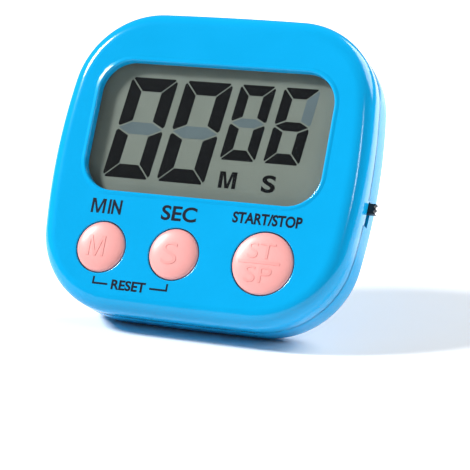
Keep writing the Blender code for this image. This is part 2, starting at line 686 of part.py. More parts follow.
def battery_door(holder, surface):
    """Door plate with two hooked tabs on its lower edge and a thumb tab on its top edge."""
    door = piece("battery_door", prism(door_outline(0.0), REAR_Z, DOOR_INNER_Z), holder, surface)
    for side, x in (("left", DOOR_X - DOOR_TAB_X), ("right", DOOR_X + DOOR_TAB_X)):
        leg = box(
            x - DOOR_TAB_HALF, x + DOOR_TAB_HALF,
            DOOR_BOTTOM + DOOR_LAP - DOOR_TAB_THICKNESS, DOOR_BOTTOM + DOOR_LAP,
            DOOR_INNER_Z - DOOR_THICKNESS / 2, REAR_INNER_Z + LAYER_GAP + DOOR_TAB_THICKNESS / 2,
        )
        fuse(door, leg, f"tab_leg_{side}")
        fuse(door, door_tab_box(x, 0.0), f"tab_hook_{side}")
    lift = box(
        DOOR_X - DOOR_LIFT_HALF, DOOR_X + DOOR_LIFT_HALF, DOOR_TOP - DOOR_LAP, DOOR_TOP + DOOR_LIFT_REACH,
        REAR_Z + LAYER_GAP, DOOR_INNER_Z - LAYER_GAP,
    )
    fuse(door, lift, "thumb_tab")
    return door


def aaa_cell(frame, steel, film):
    """One AAA cell lying along X, with its nub to the right: a steel can in a shrunk film."""
    left = CELL_X - CELL_LENGTH / 2
    right = CELL_X + CELL_LENGTH / 2 - CELL_NUB_LENGTH
    radius = CELL_CAN_RADIUS
    shoulder = LAYER_GAP
    sections = [
        (radius * 0.9, left), (radius, left + shoulder), (radius, right - shoulder), (radius * 0.9, right),
        (CELL_NUB_RADIUS, right), (CELL_NUB_RADIUS, right + CELL_NUB_LENGTH),
    ]
    piece("cell_can", along_x(turned(sections, CELL_Y, CELL_Z, 24)), frame, steel)
    sleeve_ends = (left + SLEEVE_SHORT, right - SLEEVE_SHORT)
    sleeve = piece("cell_sleeve", rod_along_x(CELL_RADIUS, *sleeve_ends, CELL_Y, CELL_Z, 24), frame, film)
    bore = rod_along_x(
        CELL_RADIUS - SLEEVE_THICKNESS, left - OVERCUT, right + OVERCUT, CELL_Y, CELL_Z, 24,
    )
    cut(sleeve, bore, "bore")


def contact_plates(frame, surface):
    """Stamped plates at the bay's ends, each with a tail through the end wall."""
    ends = (
        ("negative_plate", BAY_LEFT + CONTACT_PLAY, -1),
        ("positive_plate", BAY_RIGHT - CONTACT_PLAY - CONTACT_PLATE, 1),
    )
    for name, x, side in ends:
        plate = piece(name, box(
            x, x + CONTACT_PLATE, CELL_Y - CONTACT_PLATE_HALF, CELL_Y + CONTACT_PLATE_HALF,
            CELL_Z - CONTACT_PLATE_HALF, CELL_Z + CONTACT_PLATE_HALF,
        ), frame, surface)
        root = x + CONTACT_PLATE / 2
        tip = root + side * CONTACT_TAIL_LENGTH
        tail = box(
            min(root, tip), max(root, tip), CELL_Y - CONTACT_TAIL_HALF, CELL_Y + CONTACT_TAIL_HALF,
            contact_tail_z() - CONTACT_PLATE * 0.4, contact_tail_z() + CONTACT_PLATE * 0.4,
        )
        fuse(plate, tail, "tail")


def wire_object(name, points, radius, frame, surface, resolution=2):
    """A round wire through points, as a curve with a round bevel and closed ends."""
    data = bpy.data.curves.new(name, "CURVE")
    data.dimensions = "3D"
    data.bevel_depth = radius
    data.bevel_resolution = resolution
    data.use_fill_caps = True
    spline = data.splines.new("POLY")
    spline.points.add(len(points) - 1)
    for point, place in zip(spline.points, points):
        point.co = (*place, 1.0)
    data.materials.append(surface)
    obj = bpy.data.objects.new(name, data)
    obj.parent = frame
    bpy.context.scene.collection.objects.link(obj)
    return obj


def cell_spring(frame, surface):
    """Conical spring from the negative plate to the cell's flat end."""
    start = BAY_LEFT + CONTACT_PLATE + 2 * CONTACT_PLAY + SPRING_WIRE
    end = CELL_X - CELL_LENGTH / 2 - CONTACT_PLAY - SPRING_WIRE
    steps = int(SPRING_TURNS * 10)
    points = []
    for k in range(steps + 1):
        share = k / steps
        angle = math.tau * SPRING_TURNS * share
        radius = SPRING_LARGE_RADIUS + (SPRING_SMALL_RADIUS - SPRING_LARGE_RADIUS) * share
        points.append((
            start + (end - start) * share,
            CELL_Y + radius * math.cos(angle), CELL_Z + radius * math.sin(angle),
        ))
    wire_object("cell_spring", points, SPRING_WIRE, frame, surface, 1)


# ---------------------------------------------------------------- display

def window_lens(frame, surface):
    """Clear lens fixed behind the window's edge."""
    piece("window_lens", prism(window_outline(LENS_LAP), LENS_Z - LENS_THICKNESS, LENS_Z), frame, surface)


def display_layers(frame, polarizer, glass, reflector):
    """The display: front polarizer, two sheets of glass and the reflector behind them."""
    layers = (
        ("lcd_front_polarizer", POLARIZER_Z, POLARIZER_THICKNESS, GLASS_BOTTOM_Y, polarizer),
        ("lcd_front_glass", FRONT_GLASS_Z, GLASS_THICKNESS, LEDGE_BOTTOM_Y, glass),
        ("lcd_rear_glass", REAR_GLASS_Z, GLASS_THICKNESS, GLASS_BOTTOM_Y, glass),
        ("lcd_reflector", REFLECTOR_Z, REFLECTOR_THICKNESS, GLASS_BOTTOM_Y, reflector),
    )
    for name, top_z, thickness, bottom_y, surface in layers:
        layer = box(
            WINDOW_X - GLASS_HALF_WIDTH, WINDOW_X + GLASS_HALF_WIDTH, bottom_y, GLASS_TOP_Y,
            top_z - thickness, top_z,
        )
        piece(name, layer, frame, surface)


def lcd_frame(frame, surface):
    """Plastic frame round the display glass, glued to the front shell."""
    outer = FRAME_PLAY + FRAME_WALL
    top_z = (LENS_Z + POLARIZER_Z) / 2
    bottom_z = BOARD_Z + LAYER_GAP
    ring = piece("lcd_frame", prism(rounded_rectangle(
        WINDOW_X - GLASS_HALF_WIDTH - outer, WINDOW_X + GLASS_HALF_WIDTH + outer,
        FRAME_BOTTOM_Y, GLASS_TOP_Y + outer, 2 * outer, 3,
    ), bottom_z, top_z), frame, surface)
    opening = box(
        WINDOW_X - GLASS_HALF_WIDTH - FRAME_PLAY, WINDOW_X + GLASS_HALF_WIDTH + FRAME_PLAY,
        LEDGE_BOTTOM_Y - FRAME_PLAY, GLASS_TOP_Y + FRAME_PLAY, bottom_z - OVERCUT, POLARIZER_Z + LAYER_GAP,
    )
    cut(ring, opening, "glass_seat")
    sight = prism(window_outline(LENS_LAP + FRAME_PLAY), POLARIZER_Z, top_z + OVERCUT)
    cut(ring, sight, "lens_seat")


def zebra_strip(frame, surface):
    """Rubber connector squeezed between the front glass's ledge and the board."""
    half = GLASS_HALF_WIDTH - FRAME_WALL
    strip = box(
        WINDOW_X - half, WINDOW_X + half, ZEBRA_Y - ZEBRA_WIDTH / 2, ZEBRA_Y + ZEBRA_WIDTH / 2,
        ZEBRA_Z - ZEBRA_THICKNESS, ZEBRA_Z,
    )
    piece("zebra_strip", strip, frame, surface)


# ---------------------------------------------------------------- buttons

def push_button(name, x, radius, frame, cap_surface, dome_surface, contact_surface):
    """One push button: domed cap with a flange, silicone dome under it and carbon contact."""
    flange_z = LENS_Z
    flange_low = flange_z - FLANGE_THICKNESS
    plunger_low = flange_low - PLUNGER_LENGTH
    axis = pivot(f"{name}_button_axis", (x, BUTTON_Y, 0.0), frame)
    cap = [
        (PLUNGER_RADIUS, plunger_low), (PLUNGER_RADIUS, flange_low),
        (radius + FLANGE_LIP, flange_low), (radius + FLANGE_LIP, flange_z),
        (radius, flange_z), (radius, CAP_HEIGHT * 0.1), (radius * 0.95, CAP_HEIGHT * 0.5),
        (radius * 0.82, CAP_HEIGHT * 0.78), (radius * 0.55, CAP_HEIGHT * 0.94),
        (radius * 0.2, CAP_HEIGHT),
    ]
    piece(f"{name}_button", turned(cap, x, BUTTON_Y, LARGE_ROUND), axis, cap_surface)

    crown_z = plunger_low - LAYER_GAP
    base_z = BOARD_Z + LAYER_GAP
    outer = [
        (DOME_BASE_RADIUS, base_z), (DOME_BASE_RADIUS, base_z + DOME_BASE_THICKNESS),
        (DOME_CROWN_RADIUS + DOME_SKIN, crown_z - DOME_CROWN_THICKNESS),
        (DOME_CROWN_RADIUS, crown_z),
    ]
    dome = piece(f"{name}_dome", turned(outer, x, BUTTON_Y, SMALL_ROUND), frame, dome_surface)
    inner = [
        (DOME_BASE_RADIUS - 2 * DOME_SKIN, base_z - OVERCUT),
        (DOME_BASE_RADIUS - 2 * DOME_SKIN, base_z + DOME_BASE_THICKNESS / 2),
        (DOME_CROWN_RADIUS, crown_z - DOME_CROWN_THICKNESS),
    ]
    cut(dome, turned(inner, x, BUTTON_Y, SMALL_ROUND), "inside")

    contact_z = crown_z - DOME_CROWN_THICKNESS - LAYER_GAP
    contact = rod(CONTACT_RADIUS, contact_z - CONTACT_THICKNESS, contact_z, x, BUTTON_Y)
    piece(f"{name}_contact", contact, axis, contact_surface)


# ---------------------------------------------------------------- circuit board

def board_outline():
    """Board with a wing on its right that carries the slide switch."""
    wing_x = SWITCH_OUTER_X - SWITCH_WALL
    return [
        (-BOARD_HALF_WIDTH, BOARD_BOTTOM_Y), (BOARD_HALF_WIDTH, BOARD_BOTTOM_Y),
        (BOARD_HALF_WIDTH, WING_BOTTOM_Y), (wing_x, WING_BOTTOM_Y),
        (wing_x, BOARD_TOP_Y), (-BOARD_HALF_WIDTH, BOARD_TOP_Y),
    ]


def main_board(frame, surface):
    """Circuit board screwed to three posts of the front shell."""
    board = piece("main_board", prism(board_outline(), BOARD_REAR_Z, BOARD_Z), frame, surface)
    for name, x, y in BOARD_SCREWS:
        hole = rod(BOARD_SCREW_RADIUS + PASS_PLAY, BOARD_REAR_Z - OVERCUT, BOARD_Z + OVERCUT, x, y, 12)
        cut(board, hole, name)


def board_pieces(frame, resin, steel, resistor, capacitor):
    """Chip under its drop of resin, crystal can and small chip parts, on the board's rear."""
    seat = BOARD_REAR_Z - SOLDER_GAP
    drop = [
        (BLOB_RADIUS, seat), (BLOB_RADIUS * 0.92, seat - BLOB_HEIGHT * 0.45),
        (BLOB_RADIUS * 0.65, seat - BLOB_HEIGHT * 0.85), (BLOB_RADIUS * 0.25, seat - BLOB_HEIGHT),
    ]
    piece("controller_blob", turned(drop, BLOB_X, BLOB_Y, SMALL_ROUND), frame, resin)
    half = CRYSTAL_LENGTH / 2
    ends = (CRYSTAL_X - half, CRYSTAL_X + half)
    can = rod_along_x(CRYSTAL_RADIUS, *ends, CRYSTAL_Y, seat - CRYSTAL_RADIUS, 12)
    piece("crystal_can", can, frame, steel)
    for name, x, y in CHIPS:
        body = box(
            x - CHIP_LENGTH / 2, x + CHIP_LENGTH / 2, y - CHIP_WIDTH / 2, y + CHIP_WIDTH / 2,
            seat - CHIP_HEIGHT, seat,
        )
        surface = resistor if name.startswith("resistor") else capacitor
        round_edges(piece(name, body, frame, surface), CHIP_HEIGHT / 8)


def slide_switch(frame, steel, base_surface, lever_surface):
    """Slide switch: steel shell over an insulating base, with its lever out through the case side."""
    top = BOARD_REAR_Z - SOLDER_GAP
    bottom = top - SWITCH_HEIGHT
    x_low = SWITCH_X - SWITCH_WIDTH / 2
    y_low = SWITCH_Y - SWITCH_LENGTH / 2
    y_high = SWITCH_Y + SWITCH_LENGTH / 2
    shell = piece("switch_shell", box(x_low, SWITCH_OUTER_X, y_low, y_high, bottom, top), frame, steel)
    inside = box(
        x_low + SWITCH_WALL, SWITCH_OUTER_X - SWITCH_WALL, y_low + SWITCH_WALL, y_high - SWITCH_WALL,
        bottom + SWITCH_WALL, top + OVERCUT,
    )
    cut(shell, inside, "inside")
    stem_top = LEVER_TOP_Y - (LEVER_LENGTH - LEVER_STEM_LENGTH) / 2
    window = box(
        SWITCH_OUTER_X - SWITCH_WALL - OVERCUT, SWITCH_OUTER_X + OVERCUT,
        stem_top - LEVER_STEM_LENGTH - LEVER_TRAVEL - SLOT_PLAY, stem_top + SLOT_PLAY,
        LEVER_Z - LEVER_THICKNESS / 2 - SLOT_PLAY / 2, LEVER_Z + LEVER_THICKNESS / 2 + SLOT_PLAY / 2,
    )
    cut(shell, window, "lever_window")
    inset = SWITCH_WALL + LAYER_GAP
    base = box(
        x_low + inset, SWITCH_OUTER_X - inset, y_low + inset, y_high - inset,
        top - SWITCH_BASE_THICKNESS, top,
    )
    piece("switch_base", base, frame, base_surface)
    switch_lever(frame, x_low + inset, top - SWITCH_BASE_THICKNESS, bottom, stem_top, lever_surface)


def switch_lever(frame, x_low, base_z, shell_z, stem_top, surface):
    """Slider, stem and notched knob in one moulding, which slides along the slot."""
    middle_y = LEVER_TOP_Y - LEVER_LENGTH / 2
    axis = pivot("switch_lever_axis", (CASE_WIDTH / 2, middle_y, LEVER_Z), frame)
    half = LEVER_THICKNESS / 2
    knob_root = SWITCH_OUTER_X + SLOT_PLAY
    tip = CASE_WIDTH / 2 + LEVER_PROUD
    low = LEVER_TOP_Y - LEVER_LENGTH
    knob = [
        (knob_root, low), (tip, low), (tip, low + LEVER_RIDGE),
        (tip - LEVER_NOTCH, low + 2 * LEVER_RIDGE), (tip - LEVER_NOTCH, LEVER_TOP_Y - 2 * LEVER_RIDGE),
        (tip, LEVER_TOP_Y - LEVER_RIDGE), (tip, LEVER_TOP_Y), (knob_root, LEVER_TOP_Y),
    ]
    lever = piece("switch_lever", prism(knob, LEVER_Z - half, LEVER_Z + half), axis, surface)
    stem = box(
        SWITCH_OUTER_X - SWITCH_WIDTH / 2, knob_root + SLOT_PLAY,
        stem_top - LEVER_STEM_LENGTH, stem_top, LEVER_Z - half * 0.9, LEVER_Z + half * 0.9,
    )
    fuse(lever, stem, "stem")
    slider = box(
        x_low, SWITCH_OUTER_X - SWITCH_WALL - LAYER_GAP,
        middle_y - LEVER_BLOCK_LENGTH / 2, middle_y + LEVER_BLOCK_LENGTH / 2,
        shell_z + SWITCH_WALL + LAYER_GAP, base_z - LAYER_GAP,
    )
    fuse(lever, slider, "slider")


# ---------------------------------------------------------------- sounder, screws, wires

def sounder(frame, brass, ceramic):
    """Brass disc glued on its ring, with a smaller ceramic disc on it."""
    top = PIEZO_Z + PIEZO_PLATE_THICKNESS
    piece("piezo_plate", rod(PIEZO_RADIUS, PIEZO_Z, top, 0.0, PIEZO_Y, LARGE_ROUND), frame, brass)
    disc = rod(CERAMIC_RADIUS, top + LAYER_GAP, top + LAYER_GAP + CERAMIC_THICKNESS, 0.0, PIEZO_Y, 24)
    piece("piezo_ceramic", disc, frame, ceramic)


def case_screw_seat_z():
    """Depth at which a case screw's head bears on its boss."""
    return REAR_Z + SEAT_DEPTH - LAYER_GAP


def case_screw_tip_z():
    """Depth that a case screw's tip reaches in its post."""
    return case_screw_seat_z() + CASE_SCREW_LENGTH


def screw(name, x, y, seat_z, radius, length, head_radius, head_height, frame, surface):
    """A pan-head screw driven from the rear, with a crossed recess in its head."""
    profile = [
        (head_radius * 0.8, seat_z - head_height), (head_radius, seat_z - head_height * 0.7),
        (head_radius, seat_z), (radius, seat_z),
        (radius, seat_z + length - radius), (radius * 0.3, seat_z + length),
    ]
    body = piece(name, turned(profile, x, y, 12), frame, surface)
    for label, half_x, half_y in (
        ("drive_across", DRIVE_RADIUS, DRIVE_WIDTH / 2),
        ("drive_along", DRIVE_WIDTH / 2, DRIVE_RADIUS),
    ):
        recess = box(
            x - half_x, x + half_x, y - half_y, y + half_y,
            seat_z - head_height - OVERCUT, seat_z - head_height + DRIVE_DEPTH,
        )
        cut(body, recess, label)


def screws(frame, surface):
    """Four screws hold the shells together, and three hold the board."""
    for name, x, y in CASE_SCREWS:
        screw(
            name, x, y, case_screw_seat_z(), CASE_SCREW_RADIUS, CASE_SCREW_LENGTH,
            CASE_SCREW_HEAD_RADIUS, CASE_SCREW_HEAD, frame, surface,
        )
    for name, x, y in BOARD_SCREWS:
        screw(
            name, x, y, BOARD_REAR_Z - LAYER_GAP, BOARD_SCREW_RADIUS, BOARD_SCREW_LENGTH - LAYER_GAP,
            BOARD_SCREW_HEAD_RADIUS, BOARD_SCREW_HEAD, frame, surface,
        )


def smooth_route(corners, steps=4):
    """Points of a smooth curve through the route's own points."""
    padded = [corners[0]] + list(corners) + [corners[-1]]
    points = []
    for before, start, end, after in zip(padded, padded[1:], padded[2:], padded[3:]):
        for k in range(steps):
            t = k / steps
            points.append(
                0.5 * ((2 * start) + (end - before) * t
                       + (2 * before - 5 * start + 4 * end - after) * t ** 2
                       + (3 * start - before - 3 * end + after) * t ** 3)
            )
    return points + [corners[-1]]


def wires(frame, red, black, blue):
    """Hook-up wires from the cell contacts and the sounder to the board's rear."""
    solder_z = BOARD_REAR_Z - SOLDER_GAP - WIRE_RADIUS
    tail_gap = CONTACT_PLATE / 2 + WIRE_RADIUS + LAYER_GAP
    tail_z = contact_tail_z() - tail_gap
    ends = (
        ("negative_wire", BAY_LEFT - BAY_WALL, -1, black),
        ("positive_wire", BAY_RIGHT + BAY_WALL, 1, red),
    )
    for name, wall_x, side, surface in ends:
        pad_x = side * (BOARD_HALF_WIDTH - 3 * WIRE_RADIUS)
        out_x = wall_x + side * 2 * WIRE_RADIUS
        corners = [
            Vector((out_x, CELL_Y, tail_z)),
            Vector((out_x + side * WIRE_RADIUS, (CELL_Y + BAY_BOTTOM) / 2, tail_z)),
            Vector((out_x, BAY_BOTTOM - BAY_WALL, (tail_z + solder_z) / 2 - WIRE_GAP)),
            Vector((pad_x, BOARD_TOP_Y, solder_z - WIRE_RADIUS)),
            Vector((pad_x, BOARD_TOP_Y - 4 * WIRE_RADIUS, solder_z)),
        ]
        wire_object(name, smooth_route(corners, 3), WIRE_RADIUS, frame, surface)

    lift_z = PIEZO_Z + PIEZO_PLATE_THICKNESS + CERAMIC_THICKNESS + 2 * LAYER_GAP + WIRE_RADIUS
    starts = (
        ("piezo_wire_inner", CERAMIC_RADIUS / 2, 0, red),
        ("piezo_wire_outer", PIEZO_RADIUS - 2 * WIRE_RADIUS, 1, blue),
    )
    for name, start_x, order, surface in starts:
        spread = order * WIRE_GAP
        run_x = BAY_RIGHT + BAY_WALL + CONTACT_TAIL_LENGTH + WIRE_GAP + spread
        pad_x = CRYSTAL_X + CRYSTAL_LENGTH + spread
        corners = [
            Vector((start_x, PIEZO_Y + spread, lift_z)),
            Vector((start_x + 3 * WIRE_GAP, PIEZO_Y + spread, lift_z + WIRE_GAP)),
            Vector((run_x - 3 * WIRE_GAP, BAY_TOP + BAY_WALL + 2 * WIRE_GAP + spread, CELL_Z)),
            Vector((run_x, BAY_TOP - WIRE_GAP, CELL_Z)),
            Vector((run_x, BAY_BOTTOM, CELL_Z)),
            Vector((pad_x + 3 * WIRE_GAP, BAY_BOTTOM - BAY_WALL - 2 * WIRE_GAP - spread, CELL_Z + WIRE_GAP)),
            Vector((pad_x, BOARD_TOP_Y - WIRE_GAP, solder_z - WIRE_RADIUS)),
            Vector((pad_x, BOARD_TOP_Y - 3 * WIRE_GAP, solder_z)),
        ]
        wire_object(name, smooth_route(corners), WIRE_RADIUS, frame, surface)


# ---------------------------------------------------------------- folding stand

def stand_profile():
    """The flap's section, as (y, z) points: round tip, flat plate, barrel round the pin, heel."""
    tip = arc(STAND_TIP_RADIUS, math.pi / 2, 1.5 * math.pi, 6, (TIP_Y, STAND_MIDDLE_Z))
    heel_y = HINGE_Y + HEEL_LENGTH
    heel = [
        (HINGE_Y + BARREL_RADIUS / 2, STAND_OUTER_Z),
        (heel_y, STAND_OUTER_Z + STAND_THICKNESS / 2),
        (heel_y, STAND_INNER_Z),
    ]
    edge = math.asin(HEEL_INNER / BARREL_RADIUS)
    barrel = arc(BARREL_RADIUS, edge, math.pi - edge, 4, (HINGE_Y, HINGE_Z))
    return tip + heel + barrel


def kickstand(holder, surface, magnet_surface):
    """Stand flap with rounded lower corners, and the magnet let into its outer face."""
    reach = STAND_HALF_WIDTH + OVERCUT
    flap = piece("kickstand", along_x(prism(stand_profile(), -reach, reach)), holder, surface)
    low = TIP_Y - STAND_TIP_RADIUS - SHELL_GAP
    plan = rounded_rectangle(
        -STAND_HALF_WIDTH, STAND_HALF_WIDTH,
        low, HINGE_Y + HEEL_LENGTH + STAND_CORNER + OVERCUT, STAND_CORNER, 4,
    )
    boolean(flap, prism(plan, REAR_Z - OVERCUT, POCKET_Z), "INTERSECT", "plan")
    bore = rod_along_x(PIN_RADIUS + PIN_PLAY, -reach, reach, HINGE_Y, HINGE_Z)
    cut(flap, bore, "pin_bore")

    middle = (HINGE_Y + TIP_Y) / 2
    half_width = MAGNET_WIDTH / 2 + MAGNET_PLAY
    half_height = MAGNET_HEIGHT / 2 + MAGNET_PLAY
    seat_z = STAND_OUTER_Z - MAGNET_PROUD + MAGNET_THICKNESS
    seat = box(
        -half_width, half_width, middle - half_height, middle + half_height,
        STAND_OUTER_Z - OVERCUT, seat_z + MAGNET_PLAY,
    )
    cut(flap, seat, "magnet_seat")
    bar = box(
        -MAGNET_WIDTH / 2, MAGNET_WIDTH / 2, middle - MAGNET_HEIGHT / 2, middle + MAGNET_HEIGHT / 2,
        seat_z - MAGNET_THICKNESS, seat_z,
    )
    piece("magnet", bar, holder, magnet_surface)


def kickstand_pin(frame, surface):
    """Steel pin through the pocket's side walls and the flap's barrel."""
    reach = POCKET_HALF_WIDTH + POCKET_WALL
    piece("kickstand_pin", rod_along_x(PIN_RADIUS, -reach, reach, HINGE_Y, HINGE_Z), frame, surface)


# ---------------------------------------------------------------- assembly

def set_on_ground(frame):
    """Moves the leaning frame so that the middle of the timer's base is the origin."""
    bpy.context.view_layer.update()
    depsgraph = bpy.context.evaluated_depsgraph_get()
    places = []
    for obj in bpy.context.scene.objects:
        if obj.type in {"MESH", "CURVE"} and not obj.hide_render:
            solid = obj.evaluated_get(depsgraph)
            places += [solid.matrix_world @ vertex.co for vertex in solid.to_mesh().vertices]
            solid.to_mesh_clear()
    low = [min(place[axis] for place in places) for axis in range(3)]
    high = [max(place[axis] for place in places) for axis in range(3)]
    frame.location = (-(low[0] + high[0]) / 2, -(low[1] + high[1]) / 2, -low[2])


def build():
    """Makes every piece of the timer."""
    clear_scene()
    frame = bpy.data.objects.new("case_frame", None)
    frame.rotation_euler = (math.pi / 2 - LEAN, 0.0, 0.0)
    bpy.context.scene.collection.objects.link(frame)

    blue = finish("blue_abs", (0.012, 0.46, 0.92), 0.30)
    clear = finish("clear_acrylic", (0.95, 0.97, 0.98), 0.05, alpha=0.25)
    pink = finish("pink_abs", (1.0, 0.43, 0.40), 0.40)
    silicone = finish("white_silicone", (0.78, 0.78, 0.76), 0.70)
    carbon = finish("carbon_pill", (0.02, 0.02, 0.02), 0.80)
    steel = finish("nickel_plated_steel", (0.62, 0.62, 0.60), 0.30, 1.0)
    black = finish("black_acetal", (0.02, 0.02, 0.022), 0.45)

    front_case(frame, blue)
    rear_case(frame, blue)
    window_lens(frame, clear)
    display_layers(
        frame, finish("polarizer_film", (0.30, 0.34, 0.30), 0.25, alpha=0.6),
        finish("display_glass", (0.80, 0.86, 0.84), 0.05, alpha=0.35),
        finish("silvered_film", (0.42, 0.46, 0.40), 0.45),
    )
    lcd_frame(frame, finish("white_abs", (0.75, 0.75, 0.73), 0.50))
    zebra_strip(frame, finish("striped_rubber", (0.10, 0.10, 0.11), 0.80))
    for name, x, radius in BUTTONS:
        push_button(name, x, radius, frame, pink, silicone, carbon)
    main_board(frame, finish("board_laminate", (0.02, 0.22, 0.08), 0.45))
    board_pieces(
        frame, finish("black_resin", (0.01, 0.01, 0.01), 0.25), steel,
        finish("resistor_ceramic", (0.03, 0.03, 0.03), 0.40),
        finish("capacitor_ceramic", (0.45, 0.32, 0.20), 0.50),
    )
    slide_switch(frame, steel, finish("brown_phenolic", (0.16, 0.08, 0.03), 0.60), black)
    sounder(
        frame, finish("brass", (0.72, 0.52, 0.20), 0.30, 1.0),
        finish("white_ceramic", (0.85, 0.83, 0.78), 0.50),
    )
    aaa_cell(frame, steel, finish("cell_film", (0.06, 0.10, 0.14), 0.35))
    contact_plates(frame, steel)
    cell_spring(frame, steel)
    wires(
        frame, finish("red_insulation", (0.55, 0.02, 0.02), 0.45),
        finish("black_insulation", (0.02, 0.02, 0.02), 0.45),
        finish("blue_insulation", (0.02, 0.08, 0.45), 0.45),
    )
    screws(frame, finish("zinc_plated_steel", (0.55, 0.56, 0.58), 0.35, 1.0))

    door_axis = pivot("battery_door_axis", (0.0, DOOR_BOTTOM, REAR_Z), frame)
    battery_door(door_axis, blue)
    kickstand_pin(frame, steel)
    stand_axis = pivot("kickstand_axis", (0.0, HINGE_Y, HINGE_Z), frame, STAND_OPEN)
    kickstand(stand_axis, blue, finish("ferrite", (0.05, 0.05, 0.055), 0.60, 0.3))
    set_on_ground(frame)


build()
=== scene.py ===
"""Pocket kitchen timer, finished: the surface and the material of every piece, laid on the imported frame.

Everything is in metres. Pieces are worked out along the case's own axes, x to the right, y up the face
and z out of it, measured from the middle of the flat face, and are then leaned back with the case.
"""
import json
import math

import bmesh
import bpy
import numpy as np
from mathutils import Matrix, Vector


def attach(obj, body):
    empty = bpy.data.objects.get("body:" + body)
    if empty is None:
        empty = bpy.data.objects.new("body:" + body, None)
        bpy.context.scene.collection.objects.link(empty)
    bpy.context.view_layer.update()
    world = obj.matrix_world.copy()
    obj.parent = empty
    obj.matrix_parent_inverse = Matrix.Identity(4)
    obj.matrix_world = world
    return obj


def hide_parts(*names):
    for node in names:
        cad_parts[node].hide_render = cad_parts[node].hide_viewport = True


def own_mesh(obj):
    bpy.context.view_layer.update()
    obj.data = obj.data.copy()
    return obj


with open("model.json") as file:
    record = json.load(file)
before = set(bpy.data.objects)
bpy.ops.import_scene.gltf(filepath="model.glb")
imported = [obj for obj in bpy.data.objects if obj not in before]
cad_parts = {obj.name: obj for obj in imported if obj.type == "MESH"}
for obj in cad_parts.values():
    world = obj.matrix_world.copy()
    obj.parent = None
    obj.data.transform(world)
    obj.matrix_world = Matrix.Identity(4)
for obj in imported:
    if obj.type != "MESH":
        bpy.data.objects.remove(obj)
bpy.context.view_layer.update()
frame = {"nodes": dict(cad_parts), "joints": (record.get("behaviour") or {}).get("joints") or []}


# ---------------------------------------------------------------- table, lights and camera
# The timer stands on white card under a broad, high light on the left. A strip light on the right
# draws the narrow gloss along the case's edge, and a large soft light behind reaches the side that
# is turned away. None of it belongs to the timer.

FLOOR_HALF = 6.0
FLOOR_POINTS = 13             # along each side of the table
CAMERA_PLACE = Vector((0.1603, -0.3943, 0.1317))
CAMERA_AIM = Vector((0.0072, -0.0073, 0.0225))
CAMERA_LENS = 142.1
SENSOR_WIDTH = 36.0
CAMERA_NEAR = 0.01
LIGHT_AIM = Vector((0.0, 0.0, 0.03))
SUN_FROM = Vector((-0.72, -0.26, 0.66))
SUN_STRENGTH = 4.8
SUN_SPREAD = math.radians(13.0)
# name, place, width, height, watts, colour
SOFT_LIGHTS = (
    ("strip", (0.62, -0.39, 0.53), 0.04, 0.20, 0.9, (1.0, 1.0, 1.0)),
    ("back", (0.75, 0.85, 0.85), 1.20, 0.80, 24.0, (0.98, 0.99, 1.0)),
)
SKY_COLOUR = (0.92, 0.96, 1.0, 1.0)
SKY_STRENGTH = 0.10
NOISE_LOW, NOISE_HIGH = 0.3, 0.7        # nearly all of a noise texture lies between these
BROAD_DETAIL, FINE_DETAIL = 3.0, 2.0
LEAST_ROUGHNESS = 0.02

sun_data = bpy.data.lights.new("sun", "SUN")
sun_data.energy = SUN_STRENGTH
sun_data.angle = SUN_SPREAD
sun = bpy.data.objects.new("sun", sun_data)
sun.rotation_euler = SUN_FROM.to_track_quat("Z", "Y").to_euler()
bpy.context.scene.collection.objects.link(sun)

for name, place, width, height, watts, colour in SOFT_LIGHTS:
    lamp = bpy.data.lights.new(name, "AREA")
    lamp.shape = "RECTANGLE"
    lamp.size = width
    lamp.size_y = height
    lamp.energy = watts
    lamp.color = colour
    light = bpy.data.objects.new(name, lamp)
    light.location = place
    light.rotation_euler = (LIGHT_AIM - Vector(place)).to_track_quat("-Z", "Y").to_euler()
    bpy.context.scene.collection.objects.link(light)

world = bpy.data.worlds.new("white_room")
world.use_nodes = True
sky = world.node_tree.nodes["Background"]
sky.inputs["Color"].default_value = SKY_COLOUR
sky.inputs["Strength"].default_value = SKY_STRENGTH
bpy.context.scene.world = world
bpy.context.scene.view_settings.view_transform = "Standard"

camera_data = bpy.data.cameras.new("camera")
camera_data.lens = CAMERA_LENS
camera_data.sensor_width = SENSOR_WIDTH
camera_data.clip_start = CAMERA_NEAR
camera = bpy.data.objects.new("camera", camera_data)
camera.location = CAMERA_PLACE
camera.rotation_euler = (CAMERA_AIM - CAMERA_PLACE).to_track_quat("-Z", "Y").to_euler()
bpy.context.scene.collection.objects.link(camera)
bpy.context.scene.camera = camera


